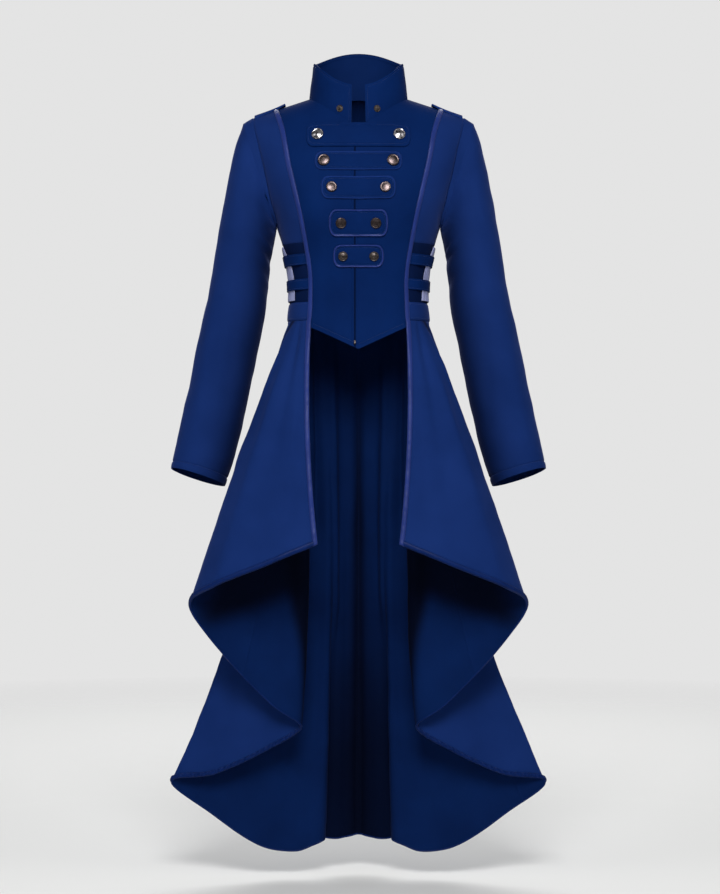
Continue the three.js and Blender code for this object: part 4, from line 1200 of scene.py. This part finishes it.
# Straps over the gathered satin, two on each side, sewn in at the piping and at the side seam. Each is
# a tube of the coat's cloth pressed flat, with a row of stitching near both edges.
STRAPS = ({"z": -275.5, "width": 18.5, "sag": 0.48}, {"z": -317.0, "width": 18.5, "sag": 0.8})
STRAP_WALL = 1.8
SATIN_HIGH = 2.9  # the satin's crests above the inset
STRAP_STITCH = 2.6
STRAP_DIP = 0.5
STRAP_TUCK = {"front": 1.5, "turn": 0.6}  # under the piping and in the side seam
STRAP_SLUB = (15, 0.5)


def slab_height(edge, wall, stitch, dip):
    """How high a pressed and topstitched edge stands at a distance in from it"""
    rounded = math.sqrt(max(0, 1 - (1 - clamp(edge / (wall * 0.8))) ** 2))
    return wall * rounded + groove(edge, stitch, 0.75, dip) * rounded


def strap_path(strap, sign, u, aside):
    """Turn, height and lift on the coat of a place on a strap, which sags and rides over the satin"""
    z = strap["z"] + aside - strap["sag"] * math.sin(math.pi * u)
    front = turn_at(piped_x(z) + PIPING["width"] / 2 - STRAP_TUCK["front"], z)
    turn = lerp(front, side_turn(z) - STRAP_TUCK["turn"], u)
    return turn, z, LAID + SATIN_HIGH * ease(u, 0.02, 0.22) + slub((turn * 2, z, sign), STRAP_SLUB)


for side, sign in SIDES:
    for number, strap in enumerate(STRAPS, 1):

        def strapped(u, v, side=side, sign=sign, strap=strap):
            edge = strap["width"] * min(v, 1 - v)
            turn, z, lift = strap_path(strap, sign, u, strap["width"] * (0.5 - v))
            lift += slab_height(edge, STRAP_WALL, STRAP_STITCH, STRAP_DIP)
            return flip(laid(side, turn, z, lift), sign)

        name = "strap_" + str(number) + "_" + side
        band = cut_cloth(name, 60, 26, strapped, FIRM, sign < 0, wall=1.0)
        sew_in(band, (0.145, 0.0195), None)


# Five tabs buttoned across the closure, wide at the neck and narrow at the waist. Each is a padded
# band of the coat's cloth with rounded ends, a rolled rim and a row of stitching inside it.
# The last column is the cloth of each tab's rolled rim: a lighter navy on the second and third tabs as a
# painted highlight, a violet satin edge on the lowest two
TABS = table(
    "z half height button size rim edging",
    (-70.3, 87, 41.5, 67.5, 20, 0.25, PRESSED),
    (-115, 72, 32, 57, 20, 0.35, NAVY),
    (-160.5, 61.5, 38.5, 45, 18, 0.45, NAVY),
    (-219, 48.7, 44, 29.3, 18, 0.95, VIOLET),
    (-273, 41.5, 37, 25.5, 16, 0.95, VIOLET),
)
TAB_GAP = 0.7
TAB_WALL = 2.0
TAB_ROUND = 14.0  # length of a tab's rounded end
TAB_SQUARE = 2.6  # exponent of that end
TAB_BLUNT = 0.28  # height of its flat tip, as a share of the tab's
RIM_AT = 1.5
RIM_WIDE = 2.5
RIM_STITCH = 4.6
TAB_CORNER = 4.0
TAB_DIP = 0.75
PADDED = {"high": 0.55, "run": 7}  # inside the stitching
TAB_SLUB = (13, 0.45)


def tab_share(tab, x):
    """Half a tab's height at x, as a share of its middle's"""
    past = clamp((abs(x) - (tab["half"] - TAB_ROUND)) / TAB_ROUND)
    return max(TAB_BLUNT, (1 - past**TAB_SQUARE) ** (1 / TAB_SQUARE))


def tab_edge(tab, x, aside):
    """About how far a place on a tab lies in from its edge"""
    above = max(0, tab_share(tab, x) * tab["height"] / 2 - abs(aside))
    corner = ease(abs(aside), tab["height"] * 0.15, tab["height"] * 0.5)
    beside = max(0, tab["half"] - abs(x) - TAB_CORNER * corner)
    return above * beside / math.hypot(above, beside) if above and beside else 0.0


def tab_point(tab, x, aside):
    z = tab["z"] + aside
    edge = tab_edge(tab, x, aside)
    padded = PADDED["high"] * ease(edge, RIM_STITCH, RIM_STITCH + PADDED["run"])
    lift = TAB_GAP + slab_height(edge, TAB_WALL, RIM_STITCH, TAB_DIP) + padded
    lift += tab["rim"] * near(edge, RIM_AT, 1.1) + slub((x, aside, tab["z"]), TAB_SLUB)
    return flip(laid("left" if x >= 0 else "right", turn_at(abs(x), z), z, lift), math.copysign(1, x))


for number, tab in enumerate(TABS, 1):

    def tabbed(u, v, tab=tab):
        x = lerp(-tab["half"], tab["half"], u)
        return tab_point(tab, x, tab_share(tab, x) * tab["height"] * (0.5 - v))

    name = "tab_" + str(number)
    pad = cut_cloth(name, 128, 40, tabbed, (PRESSED, tab["edging"], REVERSE), False, wall=1.2)
    # The rim's faces take the rim's cloth, lighter on some tabs as a painted highlight
    for face in pad.data.polygons:
        if tab_edge(tab, face.center.x / MM, face.center.z / MM - tab["z"]) < RIM_WIDE:
            face.material_index = 1
    width, height = 2 * tab["half"] * MM, tab["height"] * MM
    sew_in(pad, (width * 1.03, height * 1.05), None)


# The shank buttons of plated metal, a pair to each tab and one at each end of the collar. The top
# pair is polished, those below are duller, and the lowest and the collar's are darkest.
BUTTON_STEPS = 40
COLLAR_BUTTON = {"turn": 22, "rise": 0.24, "size": 11.7}
# Half sections from the back round the rim to the middle of the face, as (radius, height)
FACES = {
    "domed": (
        (0, 0), (0.55, 0), (0.90, 0.03), (0.99, 0.11), (1, 0.19), (0.95, 0.27), (0.88, 0.29),
        (0.82, 0.26), (0.78, 0.24), (0.70, 0.28), (0.52, 0.36), (0.30, 0.42), (0.12, 0.44), (0, 0.445),
    ),
    "flat": (
        (0, 0), (0.55, 0), (0.92, 0.03), (0.99, 0.10), (1, 0.18), (0.96, 0.26), (0.90, 0.30),
        (0.84, 0.30), (0.79, 0.27), (0.70, 0.28), (0.50, 0.315), (0.25, 0.335), (0, 0.34),
    ),
}


def plated(name, light, dark, roughness, patches, pits):
    """Plated metal whose shine is broken by tarnish and, where it is worn, by fine pits"""
    made, tree, skin = finish(name, light, roughness, metallic=1.0)
    patchy(tree, skin.inputs["Base Color"], light, dark, patches, stops=(0.36, 0.58))
    worn = node(tree, "TexNoise", Scale=900, Detail=4)
    dents = node(tree, "Bump", Strength=pits, Distance=0.25 * MM)
    spread = node(tree, "MapRange", To_Min=roughness * 0.7, To_Max=roughness * 1.6)
    link(tree, node(tree, "TexCoord"), "Object", worn, "Vector")
    link(tree, worn, "Fac", dents, "Height")
    link(tree, worn, "Fac", spread, "Value")
    link(tree, spread, "Result", skin, "Roughness")
    link(tree, dents, "Normal", skin, "Normal")
    return made


POLISHED = plated("polished plate", (0.52, 0.50, 0.52), (0.04, 0.035, 0.04), 0.18, 260, 0.15)
DULLED = plated("dulled plate", (0.072, 0.055, 0.054), (0.036, 0.028, 0.028), 0.26, 200, 0.15)
DARKENED = plated("darkened plate", (0.085, 0.070, 0.064), (0.018, 0.015, 0.015), 0.34, 420, 0.8)
BUTTONS = ((POLISHED, "domed"), *[(DULLED, "flat")] * 3, (DARKENED, "domed"))


def turned_button(name, size, seat, out, metal, face):
    """A button turned about its shank, set on its seat with its face outwards"""
    bm = bmesh.new()
    rows = [bm.verts.new((r * size / 2, 0, h * size / 2)) for r, h in FACES[face]]
    edges = [bm.edges.new(pair) for pair in zip(rows, rows[1:])]
    bmesh.ops.spin(
        bm, geom=rows + edges, cent=(0, 0, 0), axis=(0, 0, 1), angle=math.tau, steps=BUTTON_STEPS,
        use_merge=True,
    )
    bmesh.ops.remove_doubles(bm, verts=bm.verts, dist=0.001)
    bmesh.ops.recalc_face_normals(bm, faces=bm.faces)
    turn = out.to_track_quat("Z", "Y").to_matrix().to_4x4()
    bmesh.ops.transform(bm, matrix=Matrix.Translation(seat) @ turn, verts=bm.verts)
    made = set_up(name, bm, (metal,))
    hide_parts(name)


for side, sign in SIDES:
    for number, (tab, (metal, face)) in enumerate(zip(TABS, BUTTONS), 1):
        turn = turn_at(tab["button"], tab["z"])
        out = body_axes(side, turn, tab["z"])[1]
        seat = tab_point(tab, tab["button"], 0.0)
        name = "button_" + str(number) + "_" + side
        turned_button(name, tab["size"], flip(seat, sign), flip(out, sign), metal, face)
    at = COLLAR_BUTTON["turn"] * sign
    seat = collar_point(at % 360, COLLAR_BUTTON["rise"])
    turned_button("collar_button_" + side, COLLAR_BUTTON["size"], seat, collar_out(at), DARKENED, "flat")


# The shoulder straps, one along each shoulder seam, sewn in with the sleeve. The end by the neck is
# loose and stands up a little.
STRAP_FROM, STRAP_TO = 176.5, 124.0
STRAP_HALF = 17.0
STRAP_TAPER = 0.28
STRAP_LIFT = 3.5
EPAULETTE_WALL = 3.0
EPAULETTE_STITCH = 3.4


def shoulder_strap_point(share, across):
    """share runs from the sleeve to the neck, across from -1 in front to 1 behind"""
    x = lerp(STRAP_FROM, STRAP_TO, share)
    half = STRAP_HALF * (1 - STRAP_TAPER * ease(share, 0.80, 1.0))
    y = across * half
    edge = min(half * (1 - abs(across)), (1 - share) * (STRAP_FROM - STRAP_TO))
    z = rolled_z(x, abs(y), "front" if y < 0 else "back") + LAID + STRAP_LIFT * share**3
    return Vector((x, SPINE_Y + y, z + slab_height(edge, EPAULETTE_WALL, EPAULETTE_STITCH, 0.6)))


for side, sign in SIDES:

    def on_shoulder(u, v, sign=sign):
        return flip(shoulder_strap_point(1 - u, 1 - 2 * v), sign)

    name = "epaulette_" + side
    strap = cut_cloth(name, 44, 30, on_shoulder, COAT, sign < 0, wall=1.6)
    sew_in(strap, (0.056, 0.036), None)


# The zip's end, a pressed metal stop at the point of the front.
STOP = {"width": 3.2, "length": 6.4, "thick": 2.0, "up": 11.0, "round": 0.6}
z = POINT["middle"] + STOP["up"]
turn = turn_at(-CLOSURE_X, z)
out = body_axes("right", turn, z)[1]
out.x = -out.x
seat = laid("right", turn, z, LAID + STOP["thick"] / 2)
seat.x = -seat.x
bm = bmesh.new()
bmesh.ops.create_cube(bm, size=1)
bmesh.ops.scale(bm, vec=(STOP["width"], STOP["length"], STOP["thick"]), verts=bm.verts)
bmesh.ops.bevel(
    bm, geom=bm.edges[:], offset=STOP["round"], segments=3, profile=0.5, affect="EDGES", material=-1
)
upright = out.to_track_quat("Z", "Y").to_matrix().to_4x4()
bmesh.ops.transform(bm, matrix=Matrix.Translation(seat) @ upright, verts=bm.verts)
stop = set_up("zip_end", bm, (DARKENED,))
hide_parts("zip_end")


# The topstitching, in thread of the cloth's own colour, each stitch a little sunk into the cloth.
STITCH = {"pitch": 3.3, "long": 2.4, "wide": 0.55, "high": 0.42}
BAND_STITCH = 3.2  # from the waist band's edges
BAND_STITCH_SHARE = 0.107  # the same as a share of its height
STRAP_SEWN = 0.93  # how much of a shoulder strap's length is stitched
TAB_RING = 2 / 7  # exponent that squares the ring of stitches on a tab
UP = Vector((0, 0, 1))
THREAD, tree, skin = finish("navy thread", (0.0040, 0.020, 0.105), 0.5, 0.2, BLUE_NAP)
twist = node(tree, "TexNoise", Scale=2600)
bump = node(tree, "Bump", Strength=0.5, Distance=0.1 * MM)
link(tree, node(tree, "TexCoord"), "Object", twist, "Vector")
link(tree, twist, "Fac", bump, "Height")
link(tree, bump, "Normal", skin, "Normal")


def stitched(name, rows):
    """Sews rows of stitches, each row given as points a few millimetres apart or closer"""
    bm = bmesh.new()
    for row in rows:
        left = STITCH["pitch"] / 2
        for before, after in zip(row, row[1:]):
            step = after[0] - before[0]
            run = step.length
            while run > 0 and left <= run:
                along = step.normalized()
                out = (before[1] + after[1]).normalized()
                beside = out.cross(along).normalized()
                axes = Matrix((
                    along * STITCH["long"] / 2, beside * STITCH["wide"] / 2, out * STITCH["high"] / 2
                ))
                middle = before[0] + along * left + out * STITCH["high"] * 0.1
                place = Matrix.Translation(middle) @ axes.transposed().to_4x4()
                bmesh.ops.create_icosphere(bm, subdivisions=1, radius=1, matrix=place)
                left += STITCH["pitch"]
            left -= run
    set_up(name, bm, (THREAD,))


def steps(count):
    return [i / count for i in range(count + 1)]


def on_coat(side, sign, turn, z, lift=0.0):
    """A place for a stitch above the coat's body, and which way is out of the cloth"""
    return flip(laid(side, turn, z, lift), sign), flip(body_axes(side, turn, z)[1], sign)


end_turn = first_turn + math.degrees(TOPSTITCH / NECK["half"])
rows = []
for end in (end_turn, 360 - end_turn):
    rows.append([(collar_point(end, 0.06 + 0.84 * t), collar_out(end)) for t in steps(40)])
across = [lerp(end_turn, 360 - end_turn, t) for t in steps(220)]
over = [1 - TOPSTITCH / (collar_form(t, 1) - collar_form(t, 0)).length for t in across]
rows.append([(collar_point(t, rise), collar_out(t)) for t, rise in zip(across, over)])
stitched("collar_stitches", rows)

for side, sign in SIDES:
    share = 1 - CUFF_HEM / SLEEVE_LENGTH
    middle = (sleeve_point(side, 0, share) + sleeve_point(side, 180, share)) / 2
    cuff = [sleeve_point(side, 360 * t % 360, share) for t in steps(120)]
    rows = [[(flip(p, sign), flip((p - middle).normalized(), sign)) for p in cuff]]
    for z in (INSET_END_Z - BAND_STITCH, WAIST_Z + BAND_STITCH):
        ends = turn_at(piped_x(z) + 5, z), side_turn(z) - 0.5
        full = BAND_FULL * math.sin(math.pi * BAND_STITCH_SHARE) ** 0.6
        rows.append([on_coat(side, sign, lerp(*ends, t), z, full) for t in steps(60)])
    stitch_dip = slab_height(STRAP_STITCH, STRAP_WALL, STRAP_STITCH, STRAP_DIP)
    for strap in STRAPS:
        for aside in (strap["width"] / 2 - STRAP_STITCH, STRAP_STITCH - strap["width"] / 2):
            path = [strap_path(strap, sign, t, aside) for t in steps(60)]
            rows.append([on_coat(side, sign, turn, z, lift + stitch_dip) for turn, z, lift in path])
    for end in (-1, 1):
        strip = [shoulder_strap_point(STRAP_SEWN * t, 0.80 * end) for t in steps(30)]
        rows.append([(flip(point, sign), UP) for point in strip])
    strip = [shoulder_strap_point(STRAP_SEWN, 0.8 * (2 * t - 1)) for t in steps(20)]
    rows.append([(flip(point, sign), UP) for point in strip])
    hem = []
    for t in steps(60):
        x = lerp(sign * CLOSURE_X + 3 if sign < 0 else 0.0, outer_x(POINT["side"]) - 6, t)
        z = pointed_hem(abs(x)) + HEM_STITCH
        hem.append(on_coat(side, sign, turn_at(abs(x), z), z))
    rows.append(hem)
    stitched("side_stitches_" + side, rows)

for number, tab in enumerate(TABS, 1):
    ring = []
    for t in steps(160):
        angle = math.tau * t
        c, s = math.cos(angle), math.sin(angle)
        x = (tab["half"] - RIM_STITCH) * math.copysign(abs(c) ** TAB_RING, c)
        far = max(tab_share(tab, x) * tab["height"] / 2 - RIM_STITCH, 0)
        aside = min(abs(s) ** TAB_RING * (tab["height"] / 2 - RIM_STITCH), far) * math.copysign(1, s)
        z = tab["z"] + aside
        out = body_axes("left", turn_at(abs(x), z), z)[1]
        ring.append((tab_point(tab, x, aside), flip(out, math.copysign(1, x))))
    stitched("tab_stitches_" + str(number), [ring])


# A pale floor below the hem that fades into the light backdrop, soft light from large lamps, and the
# camera at the photograph's angle, level with the hips.
FLOOR_Z = -1.345
BACKDROP = 0.775
AMBIENT = 0.21
LAMPS = table(
    "name at size power",
    ("key", (0.0, -2.6, 0.95), 1.0, 84),
    ("viewer left", (-2.7, -1.7, 0.9), 1.8, 13),
    ("viewer right", (2.7, -1.7, 0.9), 1.8, 13),
    ("behind", (0.0, 2.8, 1.2), 2.4, 85),
)
LAMPS_AIM = Vector((0, 0, -0.6))
LENS_AT = (0.00255, -4.0, -0.5899)
LENS_MM = 94.75

bm = bmesh.new()
bmesh.ops.create_circle(bm, cap_ends=True, segments=96, radius=4.2)
bmesh.ops.translate(bm, vec=(0, 0, FLOOR_Z), verts=bm.verts)
ground = bpy.data.meshes.new("floor")
bm.to_mesh(ground)
bm.free()
floor = bpy.data.objects.new("floor", ground)
bpy.context.scene.collection.objects.link(floor)
paint, tree, skin = finish("floor paint", (0.75, 0.75, 0.74), 0.9)
flat = node(tree, "Mapping", Scale=(1, 1, 0))
reach = node(tree, "VectorMath")
reach.operation = "LENGTH"
fade = node(tree, "MapRange", From_Min=1.2, From_Max=3.8)
clear = node(tree, "BsdfTransparent")
mixed = node(tree, "MixShader")
link(tree, node(tree, "TexCoord"), "Object", flat, "Vector")
link(tree, flat, "Vector", reach, 0)
link(tree, reach, "Value", fade, "Value")
link(tree, fade, "Result", mixed, "Fac")
link(tree, skin, "BSDF", mixed, 1)
link(tree, clear, "BSDF", mixed, 2)
link(tree, mixed, "Shader", tree.nodes["Material Output"], "Surface")
ground.materials.append(paint)

for lamp in LAMPS:
    light = bpy.data.lights.new(lamp["name"], "AREA")
    light.size = lamp["size"]
    light.energy = lamp["power"]
    holder = bpy.data.objects.new(lamp["name"], light)
    holder.location = lamp["at"]
    aim = LAMPS_AIM - Vector(lamp["at"])
    holder.rotation_euler = aim.to_track_quat("-Z", "Y").to_euler()
    bpy.context.scene.collection.objects.link(holder)

world = bpy.data.worlds.new("studio")
bpy.context.scene.world = world
world.use_nodes = True
air = world.node_tree
lit = air.nodes["Background"]
lit.inputs["Color"].default_value = (0.96, 0.98, 1.0, 1)
lit.inputs["Strength"].default_value = AMBIENT
seen = node(air, "Background", Color=(1, 1, 1, 1), Strength=BACKDROP)
either = node(air, "MixShader")
link(air, node(air, "LightPath"), "Is Camera Ray", either, "Fac")
link(air, lit, "Background", either, 1)
link(air, seen, "Background", either, 2)
link(air, either, "Shader", air.nodes["World Output"], "Surface")
bpy.context.scene.view_settings.view_transform = "Standard"

lens = bpy.data.cameras.new("camera")
lens.lens = LENS_MM
lens.sensor_width = 36
camera = bpy.data.objects.new("camera", lens)
camera.location = LENS_AT
camera.rotation_euler = (math.radians(90), 0, 0)
bpy.context.scene.collection.objects.link(camera)
bpy.context.scene.camera = camera
